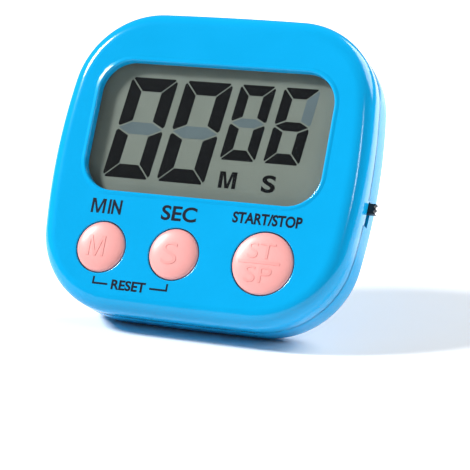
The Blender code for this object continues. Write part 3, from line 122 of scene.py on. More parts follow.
def finish(name, colour, roughness, mottle=0.03, drift=0.04, patch=0.009, grain=0.0003, depth=0.000003,
           **shader_values):
    """A Principled surface with the small unevenness of a real one, on the piece's Object coordinates.

    Broad noise, one patch across, moves the colour by mottle and the roughness by drift either way.
    Fine noise, one grain across, is the bump, and depth is its height.
    """
    material = bpy.data.materials.new(name)
    material.use_nodes = True
    nodes, links = material.node_tree.nodes, material.node_tree.links
    shader = nodes["Principled BSDF"]
    shader.inputs["Metallic"].default_value = shader_values.pop("metallic", 0.0)
    for label, value in shader_values.items():
        shader.inputs[label.replace("_", " ").title().replace("Ior", "IOR")].default_value = value
    place = nodes.new("ShaderNodeTexCoord")
    broad = nodes.new("ShaderNodeTexNoise")
    broad.inputs["Scale"].default_value = 1 / patch
    broad.inputs["Detail"].default_value = BROAD_DETAIL
    links.new(place.outputs["Object"], broad.inputs["Vector"])
    spread = nodes.new("ShaderNodeMapRange")
    spread.inputs["From Min"].default_value = NOISE_LOW
    spread.inputs["From Max"].default_value = NOISE_HIGH
    spread.inputs["To Min"].default_value = max(roughness - drift, LEAST_ROUGHNESS)
    spread.inputs["To Max"].default_value = min(roughness + drift, 1.0)
    links.new(broad.outputs["Fac"], spread.inputs["Value"])
    links.new(spread.outputs["Result"], shader.inputs["Roughness"])
    tint = nodes.new("ShaderNodeValToRGB")
    tint.color_ramp.elements[0].position = NOISE_LOW
    tint.color_ramp.elements[0].color = (*[c * (1 - mottle) for c in colour], 1.0)
    tint.color_ramp.elements[1].position = NOISE_HIGH
    tint.color_ramp.elements[1].color = (*[min(c * (1 + mottle), 1.0) for c in colour], 1.0)
    links.new(broad.outputs["Fac"], tint.inputs["Fac"])
    links.new(tint.outputs["Color"], shader.inputs["Base Color"])
    fine = nodes.new("ShaderNodeTexNoise")
    fine.inputs["Scale"].default_value = 1 / grain
    fine.inputs["Detail"].default_value = FINE_DETAIL
    links.new(place.outputs["Object"], fine.inputs["Vector"])
    bump = nodes.new("ShaderNodeBump")
    bump.inputs["Distance"].default_value = depth
    links.new(fine.outputs["Fac"], bump.inputs["Height"])
    links.new(bump.outputs["Normal"], shader.inputs["Normal"])
    return material


def grid_quads(rows, columns, join_rows, join_columns):
    """Corner numbers of the quads between neighbours on a grid of points numbered row by row.

    The last row or column is joined to the first where asked, by counting modulo its number.
    """
    row = np.arange(rows if join_rows else rows - 1)[:, None]
    column = np.arange(columns if join_columns else columns - 1)[None, :]
    next_row = (row + 1) % rows
    next_column = (column + 1) % columns
    corners = [
        row * columns + column, row * columns + next_column,
        next_row * columns + next_column, next_row * columns + column,
    ]
    return np.stack(corners, axis=-1).reshape(-1, 4)


def piece(name, mesh, *materials):
    """An object for a mesh that is already in its place in the world."""
    made = bpy.data.objects.new(name, mesh)
    for material in materials:
        mesh.materials.append(material)
    bpy.context.scene.collection.objects.link(made)
    return made


floor_side = np.linspace(-FLOOR_HALF, FLOOR_HALF, FLOOR_POINTS)
floor_points = np.array(np.meshgrid(floor_side, floor_side, [0.0], indexing="ij")).reshape(3, -1).T
floor_mesh = bpy.data.meshes.new("table")
floor_quads = grid_quads(FLOOR_POINTS, FLOOR_POINTS, False, False)
floor_mesh.from_pydata(floor_points.tolist(), [], floor_quads.tolist())
white_card = finish("white_card", (0.92, 0.925, 0.935), 0.75, 0.006, 0.05, 0.05, 0.0006, 0.00001)
table = piece("table", floor_mesh, white_card)


# ---------------------------------------------------------------- front shell
# The blue front half: one moulding of glossy ABS, with a filleted edge, a raised rim round the
# window, three button holes and screw posts inside. A lap joint and four screws hold it.

CORNER_RADIUS = 0.0208
SIDE_BOW_RADIUS = 0.1500
END_BOW_RADIUS = 0.9500
FRONT_FILLET = 0.0040
WALL = 0.0018
RIM_ROLL = 0.00050            # the rim rolls into the window with this radius
RIM_TUCK = 0.00002            # and its outer foot ends this far under the face
LAP_HEIGHT = 0.0013
LAP_INSET = 0.0009
PARTING_ROUND = 0.0002        # the small round along the edge where the shells meet
SUPPORT = 0.0003              # a ring this far inside the flat keeps its shading flat
WINDOW_X, WINDOW_Y = -0.00025, 0.00765
WINDOW_WIDTH, WINDOW_HEIGHT, WINDOW_CORNER = 0.0588, 0.0321, 0.0078
RIM_WIDTH, RIM_HEIGHT = 0.0014, 0.00020
RIM_WALL, RIM_DEPTH_SHARE = 0.0010, 0.95    # its ring in the wall: thickness, and share of the wall
RIM_SEAT = 0.0003             # the window is cut this much wide, and the ring fills it again
HOLE_ROUND = 0.00022
BUTTON_PLAY = 0.00025
FLANGE_LIP = 0.0009           # a cap's flange is this much wider all round than the cap
POST_RADIUS, PILOT_RADIUS = 0.0022, 0.0011
BOARD_POST_RADIUS, BOARD_PILOT_RADIUS = 0.0017, 0.0009
CLEARANCE = 0.0001            # left between parts that meet but aren't pressed together
OVERCUT = 0.0005              # how far a cutter runs past what it cuts
BLUE = (0.002, 0.36, 0.72)
SHARP_ANGLE = math.radians(32.0)
FLAT_AREA = 0.0000018
LEVEL_COSINE = 0.99999
MERGE_DISTANCE = 0.0000001    # points nearer to each other than this are one
MILLIMETRES, DECIMALS = 1000, 4    # in a metre, and how many places of one are kept

# The case's own axes: the way out of the face is against a button's push, and the middle of the
# face is found from the minute button, which stands at BUTTON_Y and MIN_X on it.
MIN_X, BUTTON_Y = -0.0213, -0.0222
joints = {joint["name"]: joint for joint in frame["joints"]}
case_out = -np.array(joints["min_press"]["axis"])
case_right = np.array((1.0, 0.0, 0.0))
case_up = np.cross(case_out, case_right)
CASE_AXES = np.array([case_right, case_up, case_out])
CASE_ORIGIN = np.array(joints["min_press"]["pos_m"]) - MIN_X * case_right - BUTTON_Y * case_up


def limits(node, origin=CASE_ORIGIN, axes=CASE_AXES):
    """Lowest and highest corner of a CAD node along the case's own axes: its points, less the
    origin, measured along each axis."""
    mesh = frame["nodes"][node].data
    places = np.empty(len(mesh.vertices) * 3, np.float32)
    mesh.vertices.foreach_get("co", places)
    along = (places.reshape(-1, 3) - origin) @ axes.T
    return along.min(axis=0), along.max(axis=0)


def arc(radius, start, end, steps, centre=(0.0, 0.0)):
    """Points of an arc: the centre plus the radius times (cosine, sine) of evenly spaced angles."""
    angle = np.linspace(start, end, steps + 1)
    return np.stack([centre[0] + radius * np.cos(angle), centre[1] + radius * np.sin(angle)], axis=1)


def circle(radius, steps, centre=(0.0, 0.0)):
    """Points round a whole circle, the first not repeated."""
    return arc(radius, 0.0, math.tau, steps, centre)[:-1]


def rounded_rectangle(left, right, low, high, radius, steps=8):
    """Points round a rectangle whose corners are quarter circles."""
    centres = (
        (right - radius, high - radius), (left + radius, high - radius),
        (left + radius, low + radius), (right - radius, low + radius),
    )
    quarters = [
        arc(radius, k * math.pi / 2, (k + 1) * math.pi / 2, steps, centre)
        for k, centre in enumerate(centres)
    ]
    return np.concatenate(quarters)


def quarter(radius, points):
    """(1 - sine, 1 - cosine) times the radius for even angles over a quarter turn: how far an edge
    rounded with that radius stands in from one face, and from the other."""
    turns = np.linspace(0.0, math.pi / 2, points)
    return [(radius * (1 - math.sin(a)), radius * (1 - math.cos(a))) for a in turns]


def case_outline(inset):
    """Points round the case, moved in by inset. Sides and ends are slow arcs, and each corner is an
    arc that touches both, so its centre is where circles round the slow arcs' centres cross."""
    side_x = CASE_WIDTH / 2 - SIDE_BOW_RADIUS
    end_y = CASE_HEIGHT / 2 - END_BOW_RADIUS
    side_reach = SIDE_BOW_RADIUS - CORNER_RADIUS
    end_reach = END_BOW_RADIUS - CORNER_RADIUS
    span = math.hypot(side_x, end_y)
    along = (side_reach ** 2 - end_reach ** 2 + span ** 2) / (2 * span)
    across = math.sqrt(side_reach ** 2 - along ** 2)
    unit = np.array((-side_x, end_y)) / span
    corner = np.array((side_x, 0.0)) + along * unit + across * np.array((-unit[1], unit[0]))
    side_end = math.atan2(corner[1], corner[0] - side_x)
    corner_end = math.atan2(corner[1] - end_y, corner[0])
    quadrant = np.concatenate([
        arc(SIDE_BOW_RADIUS - inset, 0.0, side_end, 8, (side_x, 0.0))[:-1],
        arc(CORNER_RADIUS - inset, side_end, corner_end, 26, corner),
        arc(END_BOW_RADIUS - inset, corner_end, math.pi / 2, 6, (0.0, end_y))[1:],
    ])
    upper = np.concatenate([quadrant, quadrant[-2::-1] * (-1, 1)])
    return np.concatenate([upper, upper[-2:0:-1] * (1, -1)])


def window_outline(growth):
    """Points round the window, made larger all round by growth."""
    half_width = WINDOW_WIDTH / 2 + growth
    half_height = WINDOW_HEIGHT / 2 + growth
    return rounded_rectangle(
        WINDOW_X - half_width, WINDOW_X + half_width,
        WINDOW_Y - half_height, WINDOW_Y + half_height, WINDOW_CORNER + growth, 18,
    )


def covered(rows, ring=False):
    """Solid from rows of points that are closed loops: quads join each row to the next, and the
    first and last rows are covered, or joined to each other to make a ring."""
    rows = np.asarray(rows)
    faces = grid_quads(len(rows), rows.shape[1], ring, True).tolist()
    points = rows.reshape(-1, 3)
    if not ring:
        faces += [list(range(rows.shape[1])), list(range(len(points) - rows.shape[1], len(points)))]
    return points, faces


def lofted(sections, ring=False):
    """Solid through flat outlines of equally many points, each at its own height."""
    rows = [np.column_stack([outline, np.full(len(outline), height)]) for outline, height in sections]
    return covered(rows, ring)


def prism(outline, low, high):
    """Straight solid with one outline."""
    return lofted([(outline, low), (outline, high)])


def turned(profile, x, y, steps=64):
    """Solid of revolution about a line along z through x, y: a circle for each (radius, z)."""
    return lofted([(circle(radius, steps, (x, y)), z) for radius, z in profile])


def joined(*solids):
    """Several separate solids as one, their corner numbers counted on from each other."""
    starts = np.cumsum([0] + [len(points) for points, _ in solids])
    faces = [[int(start) + k for k in face] for start, (_, part) in zip(starts, solids) for face in part]
    return np.concatenate([points for points, _ in solids]), faces


def mesh_of(name, solid, origin=CASE_ORIGIN, axes=CASE_AXES):
    """Mesh of a solid carried into the world: the origin plus x, y and z times the three axes."""
    points, faces = solid
    mesh = bpy.data.meshes.new(name)
    mesh.from_pydata((origin + points @ axes).tolist(), [], faces)
    shape = bmesh.new()
    shape.from_mesh(mesh)
    bmesh.ops.remove_doubles(shape, verts=shape.verts, dist=MERGE_DISTANCE)
    bmesh.ops.recalc_face_normals(shape, faces=shape.faces)
    shape.to_mesh(mesh)
    shape.free()
    return smoothed(mesh)


def smoothed(mesh):
    """The same mesh shaded smooth, except across edges sharper than SHARP_ANGLE."""
    mesh.shade_smooth()
    mesh.set_sharp_from_angle(angle=SHARP_ANGLE)
    return mesh


def carried(mesh, origin, axes, back=False):
    """The same mesh with its corners carried from the world to the origin's axes, in millimetres and
    rounded so that its flats are truly flat, or carried back."""
    places = np.empty(len(mesh.vertices) * 3, np.float32)
    mesh.vertices.foreach_get("co", places)
    places = places.reshape(-1, 3).astype(float)
    if back:
        places = origin + places / MILLIMETRES @ axes
    else:
        places = np.round((places - origin) @ axes.T * MILLIMETRES, DECIMALS)
    mesh.vertices.foreach_set("co", places.ravel())
    mesh.update()
    return mesh


def worked(name, mesh, *steps, origin=CASE_ORIGIN, axes=CASE_AXES):
    """Mesh left when others are added to it, cut from it or crossed with it, one after another. The
    work is done on the origin's axes, and the result is carried back to its place."""
    bench = piece(name, carried(mesh, origin, axes))
    tools = []
    for operation, tool_mesh in steps:
        tools.append(piece(f"{name}_tool", carried(tool_mesh, origin, axes)))
        modifier = bench.modifiers.new(operation, "BOOLEAN")
        modifier.operation = operation
        modifier.solver = "EXACT"
        modifier.object = tools[-1]
    bpy.context.view_layer.update()
    depsgraph = bpy.context.evaluated_depsgraph_get()
    result = bpy.data.meshes.new_from_object(bench.evaluated_get(depsgraph))
    result.name = name
    for used in [bench] + tools:
        bpy.data.objects.remove(used)
    return smoothed(carried(result, origin, axes, back=True))


def flattened(mesh, out=CASE_AXES[2]):
    """The same mesh with its big flat faces across the way out shaded flat, so that the small rounds
    beside them don't bend their shading. A big face is over FLAT_AREA, and nearly square to out."""
    directions = np.empty(len(mesh.polygons) * 3, np.float32)
    areas = np.empty(len(mesh.polygons), np.float32)
    mesh.polygons.foreach_get("normal", directions)
    mesh.polygons.foreach_get("area", areas)
    level = np.abs(directions.reshape(-1, 3) @ out) > LEVEL_COSINE
    mesh.polygons.foreach_set("use_smooth", ~(level & (areas > FLAT_AREA)))
    return mesh


def fillet_sections(fillet, inset, face_z, inwards, steps):
    """(outline, z) round a filleted edge: a quarter circle from the flat face to the upright wall."""
    return [
        (case_outline(inset + across), face_z + inwards * rise)
        for across, rise in quarter(fillet, steps + 1)
    ]


front_low, front_high = limits("front_case")
CASE_WIDTH = float(front_high[0] - front_low[0])
CASE_HEIGHT = float(front_high[1] - front_low[1])
SPLIT_Z = float(front_low[2])
parting = [(case_outline(inset), SPLIT_Z + rise) for rise, inset in quarter(PARTING_ROUND, 4)]
front_sections = [(case_outline(FRONT_FILLET + SUPPORT), 0.0)]
front_sections += fillet_sections(FRONT_FILLET, 0.0, 0.0, -1, 14)
front_sections += parting
front_sections += [
    (case_outline(LAP_INSET), SPLIT_Z),
    (case_outline(LAP_INSET), SPLIT_Z + LAP_HEIGHT),
    (case_outline(WALL), SPLIT_Z + LAP_HEIGHT),
]
front_sections += fillet_sections(FRONT_FILLET - WALL, WALL, -WALL, -1, 6)[::-1]

rim_low = -RIM_DEPTH_SHARE * WALL
rim_roll = [(growth, RIM_HEIGHT - drop) for drop, growth in quarter(RIM_ROLL, 9)]
rim_flank = [
    (RIM_ROLL + (RIM_WIDTH - RIM_ROLL) * s,
     RIM_HEIGHT * (0.5 + 0.5 * math.cos(math.pi * s)) - RIM_TUCK * s)
    for s in np.linspace(0.0, 1.0, 12)[1:]
]
rim_profile = [(0.0, rim_low)] + rim_roll + rim_flank + [(RIM_WALL, -WALL / 2), (RIM_WALL, rim_low)]
rim = lofted([(window_outline(growth), z) for growth, z in rim_profile], ring=True)
window_hole = prism(window_outline(RIM_SEAT), -WALL - OVERCUT, OVERCUT)


def button_box(name):
    """Middle x, cap radius and crown height of a button, from its CAD node."""
    low, high = limits(f"{name}_button")
    return (low[0] + high[0]) / 2, (high[0] - low[0]) / 2 - FLANGE_LIP, high[2]


BUTTONS = ("min", "sec", "start_stop")
button_holes = []
for name in BUTTONS:
    x, radius, _ = button_box(name)
    hole = radius + BUTTON_PLAY
    mouth = [(hole + growth, -drop) for drop, growth in quarter(HOLE_ROUND, 6)]
    profile = [(hole, -WALL - OVERCUT)] + mouth + [(hole + HOLE_ROUND, OVERCUT)]
    button_holes.append(turned(profile, x, BUTTON_Y, 96))

CASE_SCREWS = [f"case_screw_{row}_{side}" for row in ("top", "low") for side in ("left", "right")]
BOARD_SCREWS = ("board_screw_top_left", "board_screw_top_right", "board_screw_low")
posts, pilots = [], []
for name in CASE_SCREWS + list(BOARD_SCREWS):
    low, high = limits(name)
    x, y = (low[:2] + high[:2]) / 2
    board_side = name.startswith("board")
    foot = (limits("main_board")[1][2] if board_side else SPLIT_Z) + CLEARANCE
    radius = BOARD_POST_RADIUS if board_side else POST_RADIUS
    pilot = BOARD_PILOT_RADIUS if board_side else PILOT_RADIUS
    posts.append(turned([(radius, foot), (radius, -WALL / 2)], x, y, 32))
    pilots.append(turned([(pilot, foot - OVERCUT), (pilot, high[2] + CLEARANCE)], x, y, 24))

front_mesh = worked(
    "front_shell", mesh_of("front_shell", lofted(front_sections)),
    *[("DIFFERENCE", mesh_of("opening", solid)) for solid in [window_hole] + button_holes],
    ("UNION", mesh_of("rim", rim)),
    *[("UNION", mesh_of("post", solid)) for solid in posts],
    *[("DIFFERENCE", mesh_of("pilot", solid)) for solid in pilots],
)
blue_plastic = finish(
    "blue_plastic", BLUE, 0.13, 0.02, 0.02, 0.012, 0.00035, 0.0000015, specular_ior_level=0.34,
)
front_shell = piece("front_shell", flattened(front_mesh), blue_plastic)
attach(front_shell, "case")
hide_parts("front_case")


# ---------------------------------------------------------------- printed legends
# Pad-printed in navy ink straight onto the face: a function name over each button, and RESET
# under a bracket that ties the first two together. The ink is a few hundredths of a millimetre.

INK_HEIGHT = 0.00003
INK_SINK = 0.00002
BRACKET_STROKE = 0.00045
NAVY = (0.003, 0.006, 0.018)
# words, left, right, low, high, extra weight of the strokes as a share of the letter size
LEGENDS = (
    ("MIN", -0.0257, -0.0180, -0.0142, -0.0107, 0.030),
    ("SEC", -0.0078, 0.0010, -0.0144, -0.0108, 0.022),
    ("START/STOP", 0.0098, 0.0266, -0.0134, -0.0107, 0.032),
    ("RESET", -0.0168, -0.0082, -0.0320, -0.0296, 0.030),
)
M_SHARE = 0.46                # of the width of MIN that its M takes
M_STROKE, M_SPACE = 0.165, 1.4    # its stroke for its height, and the room after it in strokes
M_SHOULDER = 1.45             # top of each leg, in strokes
M_ARMPIT, M_VALLEY = 0.80, 0.24   # heights where the V leaves the legs and where it turns
LEGEND_GAP = 0.0010           # between RESET and the bracket
BRACKET_LEFT, BRACKET_RIGHT = -0.0217, -0.0032
BRACKET_TOP, BRACKET_LOW = -0.0293, -0.0311


def piece_of_curve(name, curve):
    """An object for a curve, in the scene, so that it can be evaluated."""
    made = bpy.data.objects.new(name, curve)
    bpy.context.scene.collection.objects.link(made)
    bpy.context.view_layer.update()
    return made


def lettering(words, left, right, low, high, weight):
    """Solid letters one unit deep that fill a rectangle of the face: the font's outlines, thickened
    by weight, are measured, then stretched and moved so that their own box becomes the rectangle."""
    curve = bpy.data.curves.new(words, "FONT")
    curve.body = words
    curve.offset = weight
    curve.extrude = 0.5
    curve.resolution_u = 6
    text = piece_of_curve(words, curve)
    depsgraph = bpy.context.evaluated_depsgraph_get()
    flat = bpy.data.meshes.new_from_object(text.evaluated_get(depsgraph))
    bpy.data.objects.remove(text)
    points = np.empty(len(flat.vertices) * 3, np.float32)
    flat.vertices.foreach_get("co", points)
    points = points.reshape(-1, 3)
    corner, span = points.min(axis=0), np.ptp(points, axis=0)
    points = (points - corner) / span * (right - left, high - low, 1.0) + (left, low, 0.0)
    return points, [list(polygon.vertices) for polygon in flat.polygons]


def letter_m(left, right, low, high, stroke):
    """Solid M one unit deep with upright legs: outline down each leg and along both sides of the V."""
    width, height = right - left, high - low
    outline = np.array([
        (0.0, 0.0), (stroke, 0.0), (stroke, M_ARMPIT * height), (width / 2 - 0.5 * stroke, 0.0),
        (width / 2 + 0.5 * stroke, 0.0), (width - stroke, M_ARMPIT * height), (width - stroke, 0.0),
        (width, 0.0), (width, height), (width - M_SHOULDER * stroke, height),
        (width / 2, M_VALLEY * height), (M_SHOULDER * stroke, height), (0.0, height),
    ])
    return prism(outline + (left, low), 0.0, 1.0)


def legend_words(words, left, right, low, high, weight):
    """A legend's letters. A leading M is drawn apart, since the font's own M spreads its legs."""
    if not words.startswith("M"):
        return [lettering(words, left, right, low, high, weight)]
    stroke = (high - low) * M_STROKE
    split = left + (right - left) * M_SHARE
    rest = lettering(words[1:], split + M_SPACE * stroke, right, low, high, weight)
    return [letter_m(left, split, low, high, stroke), rest]


def slab(solid, bottom, top):
    """A solid one unit deep, squeezed between two heights."""
    points, faces = solid
    return points * (1.0, 1.0, top - bottom) + (0.0, 0.0, bottom), faces


def strip(left, right, low, high):
    """A flat bar one unit deep."""
    return prism(np.array([(left, low), (right, low), (right, high), (left, high)]), 0.0, 1.0)


reset_left, reset_right = LEGENDS[-1][1:3]
bracket = [
    strip(BRACKET_LEFT, BRACKET_LEFT + BRACKET_STROKE, BRACKET_LOW, BRACKET_TOP),
    strip(BRACKET_LEFT + BRACKET_STROKE, reset_left - LEGEND_GAP,
          BRACKET_LOW, BRACKET_LOW + BRACKET_STROKE),
    strip(reset_right + LEGEND_GAP, BRACKET_RIGHT, BRACKET_LOW, BRACKET_LOW + BRACKET_STROKE),
    strip(BRACKET_RIGHT, BRACKET_RIGHT + BRACKET_STROKE, BRACKET_LOW, BRACKET_TOP),
]
navy_ink = finish("navy_ink", NAVY, 0.5, 0.05, 0.05, 0.002, 0.00015, 0.000002, specular_ior_level=0.12)
prints = [(words.lower().replace("/", "_"), legend_words(words, *place)) for words, *place in LEGENDS]
for name, solids in prints + [("reset_bracket", bracket)]:
    print_mesh = mesh_of(f"{name}_legend", slab(joined(*solids), -INK_SINK, INK_HEIGHT))
    legend = piece(f"{name}_legend", print_mesh, navy_ink)
    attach(legend, "case")


# ---------------------------------------------------------------- lens
# A flat sheet of clear acrylic glued behind the window's edge, with its own edges polished round.

LENS_LAP = 0.0011
LENS_ROUND = 0.00012

lens_low, lens_high = limits("window_lens")
lens_edge = quarter(LENS_ROUND, 4)
lens_sections = [
    (window_outline(LENS_LAP - inset), lens_high[2] - drop) for drop, inset in lens_edge[::-1]
]
lens_sections += [(window_outline(LENS_LAP - inset), lens_low[2] + rise) for rise, inset in lens_edge]
clear_acrylic = finish(
    "clear_acrylic", (0.10, 0.12, 0.12), 0.05, 0.02, 0.02, 0.02, 0.002, 0.0000004, alpha=0.03,
)
lens = piece("lens", mesh_of("lens", lofted(lens_sections)), clear_acrylic)
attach(lens, "case")
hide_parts("window_lens")


# ---------------------------------------------------------------- display
# A reflective liquid-crystal cell: grey-green film over the glass, black where a segment is
# switched on, and a faint blue-grey ghost where one is off. Segments are a thin layer on the film.

SEGMENT_THICKNESS = 0.00002
SEGMENT_GAP = 0.00040
SEGMENT_LIFT = 0.000005       # the layer's underside over the film
FILM_CORNER = 0.0004
CHAMFER_SHARE = 0.22          # outer corners are cut by this share of the stroke
HIP_IN, HIP_UP = 0.6, 0.3     # corner beside the middle: inwards and away from it, in cuts
SLANT = 2.9 / 25.4            # sideways lean for each unit of height
# left, low, width, height, middle's height, stroke, and which segments are lit, clockwise from the top
DIGITS = (
    (-0.0260, -0.0045, 0.0120, 0.0251, 0.0124, 0.0034, "abcdef"),
    (-0.0120, -0.0045, 0.0120, 0.0251, 0.0124, 0.0034, "abcdef"),
    (0.0027, 0.0020, 0.0088, 0.0186, 0.0092, 0.0026, "abcdef"),
    (0.0135, 0.0020, 0.0088, 0.0186, 0.0092, 0.0026, "acdefg"),
)
UNIT_M = (0.0036, 0.0079, -0.0048, -0.0008, 0.00094)
UNIT_S = ("S", 0.0142, 0.0176, -0.0050, -0.0008, 0.026)


def segments(left, low, width, height, middle, stroke, lit):
    """The seven outlines of a digit, lit ones first, then ghosts. Segments are mitred where they meet
    at the corners, pointed where they meet at the middle, and moved apart by SEGMENT_GAP."""
    gap = SEGMENT_GAP / 2
    cut = CHAMFER_SHARE * stroke
    half = stroke / 2
    top = [
        (cut, height), (width - cut, height), (width - cut / 2 - gap, height - cut / 2),
        (width - stroke - gap, height - stroke), (stroke + gap, height - stroke),
        (cut / 2 + gap, height - cut / 2),
    ]
    upper = [
        (width - cut / 2, height - cut / 2 - gap), (width, height - cut - gap),
        (width, middle + cut + gap),
        (width - HIP_IN * cut, middle + HIP_UP * cut + gap), (width - stroke, middle + half + gap),
        (width - stroke, height - stroke - gap),
    ]
    lower = [
        (width - cut / 2, cut / 2 + gap), (width, cut + gap), (width, middle - cut - gap),
        (width - HIP_IN * cut, middle - HIP_UP * cut - gap), (width - stroke, middle - half - gap),
        (width - stroke, stroke + gap),
    ]
    bar = [
        (2 * gap, middle), (stroke, middle + half - gap), (width - stroke, middle + half - gap),
        (width - 2 * gap, middle), (width - stroke, middle - half + gap), (stroke, middle - half + gap),
    ]
    outlines = {
        "a": np.array(top), "b": np.array(upper), "c": np.array(lower),
        "d": np.array(top) * (1, -1) + (0, height),
        "e": np.array(lower) * (-1, 1) + (width, 0), "f": np.array(upper) * (-1, 1) + (width, 0),
        "g": np.array(bar),
    }
    on, off = [], []
    for letter, outline in outlines.items():
        leaned = np.column_stack([outline[:, 0] + SLANT * outline[:, 1], outline[:, 1]]) + (left, low)
        (on if letter in lit else off).append(prism(leaned, 0.0, 1.0))
    return on, off


film_low, film_high = limits("lcd_front_polarizer")
film_outline = rounded_rectangle(film_low[0], film_high[0], film_low[1], film_high[1], FILM_CORNER, 3)
grey_film = finish(
    "grey_film", (0.175, 0.205, 0.175), 0.34, 0.05, 0.05, 0.014, 0.0009, 0.000001,
    specular_ior_level=0.12,
)
film_sheet = prism(film_outline, film_low[2], film_high[2])
film = piece("display_film", mesh_of("display_film", film_sheet), grey_film)
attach(film, "case")
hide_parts("lcd_front_polarizer")

lit, ghosts = [], []
for digit in DIGITS:
    on, off = segments(*digit)
    lit += on
    ghosts += off
lit += [letter_m(*UNIT_M), lettering(*UNIT_S)]
segment_floor = film_high[2] + SEGMENT_LIFT
for name, solids, colour in (
    ("lit_segments", lit, (0.001, 0.001, 0.002)),
    ("ghost_segments", ghosts, (0.105, 0.145, 0.155)),
):
    layer = mesh_of(name, slab(joined(*solids), segment_floor, segment_floor + SEGMENT_THICKNESS))
    crystal = piece(name, layer, finish(
        name, colour, 0.5, 0.06, 0.05, 0.006, 0.0009, 0.000001, specular_ior_level=0.03))
    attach(crystal, "case")


# ---------------------------------------------------------------- display's inside
# Behind the film are two thin glasses with the crystal between them and a silvered film. A white
# moulded frame holds the stack, and a striped rubber connector presses its edge to the board.


def dressed(material, *nodes):
    """Gives a finish to CAD nodes that keep their own shape."""
    for node in nodes:
        mesh = frame["nodes"][node].data
        mesh.materials.clear()
        mesh.materials.append(material)


dressed(finish("display_glass", (0.78, 0.86, 0.84), 0.06, 0.01, 0.02, 0.02, 0.002, 0.0000005,
               transmission_weight=0.6), "lcd_front_glass", "lcd_rear_glass")
dressed(finish("reflector", (0.42, 0.46, 0.40), 0.42, 0.03, 0.06, 0.006, 0.0002, 0.000003, metallic=0.5),
        "lcd_reflector")
dressed(finish("white_plastic", (0.74, 0.74, 0.72), 0.5, 0.02, 0.05, 0.006, 0.0003, 0.000004),
        "lcd_frame")
dressed(finish("striped_rubber", (0.09, 0.09, 0.10), 0.8, 0.5, 0.1, 0.0003, 0.0001, 0.00001),
        "zebra_strip")


# ---------------------------------------------------------------- push buttons
# Three pink caps of satin ABS, each a turned dome with a flange that holds it in the shell, and
# its letter moulded in low relief on the crown. Under each is a silicone dome that springs it back.

PINK = (0.86, 0.375, 0.355)
# The relief letters are a deeper pink than the cap. This is painted shade standing in for the shading
# along the low relief; the moulded letters are the cap's own pink.
SHADE_DARKENED_PINK = (0.83, 0.335, 0.315)
CAP_FOOT = -0.0003            # the cap's wall turns into its dome here
CAP_FLATNESS, CAP_SHOULDER = 2.7, 2.1
RELIEF = 0.00009
RELIEF_ROOT = 0.00010
RELIEF_EDGE, RELIEF_CUTS = 0.0006, 5    # longer edges of a mark are cut this many times
CROWN_SHARE = 0.08            # the middle of a cap is closed flat inside this share of its radius
PLUNGER_RADIUS = 0.0022
FLANGE_THICKNESS = 0.0008
CAP_MARKS = {
    "min": [letter_m(-0.0030, 0.0013, -0.0024, 0.0024, 0.00062)],
    "sec": [lettering("S", -0.0026, 0.0012, -0.0026, 0.0026, -0.006)],
    "start_stop": [
        lettering("ST", -0.0037, 0.0028, 0.0009, 0.0046, -0.004),
        strip(-0.0056, 0.0044, -0.0003, 0.0003),
        lettering("SP", -0.0037, 0.0028, -0.0046, -0.0009, -0.004),
    ],
}


def dome_height(share, crown):
    """Height of a cap where the distance from its axis is share of its radius: a flattened dome,
    one less share to the power CAP_FLATNESS, all to the power one over CAP_SHOULDER."""
    fallen = np.clip(share, 0, 1) ** CAP_FLATNESS
    return CAP_FOOT + (crown - CAP_FOOT) * (1 - fallen) ** (1 / CAP_SHOULDER)


def on_dome(solid, x, radius, crown):
    """A solid one unit deep laid over a cap: cut into small triangles, then each point is lifted by
    the dome's height there, its bottom sunk by RELIEF_ROOT and its top raised by RELIEF."""
    points, faces = solid
    shape = bmesh.new()
    corners = [shape.verts.new(point) for point in points]
    for face in faces:
        shape.faces.new([corners[k] for k in face])
    bmesh.ops.remove_doubles(shape, verts=shape.verts, dist=MERGE_DISTANCE)
    bmesh.ops.triangulate(shape, faces=shape.faces)
    long_edges = [
        edge for edge in shape.edges
        if (edge.verts[0].co.xy - edge.verts[1].co.xy).length > RELIEF_EDGE
    ]
    bmesh.ops.subdivide_edges(shape, edges=long_edges, cuts=RELIEF_CUTS)
    bmesh.ops.triangulate(shape, faces=shape.faces)
    fine = np.array([vertex.co for vertex in shape.verts])
    shape.verts.index_update()
    fine_faces = [[vertex.index for vertex in face.verts] for face in shape.faces]
    shape.free()
    share = np.hypot(fine[:, 0], fine[:, 1]) / radius
    lift = dome_height(share, crown) - RELIEF_ROOT + (RELIEF_ROOT + RELIEF) * fine[:, 2]
    return np.column_stack([fine[:, 0] + x, fine[:, 1] + BUTTON_Y, lift]), fine_faces


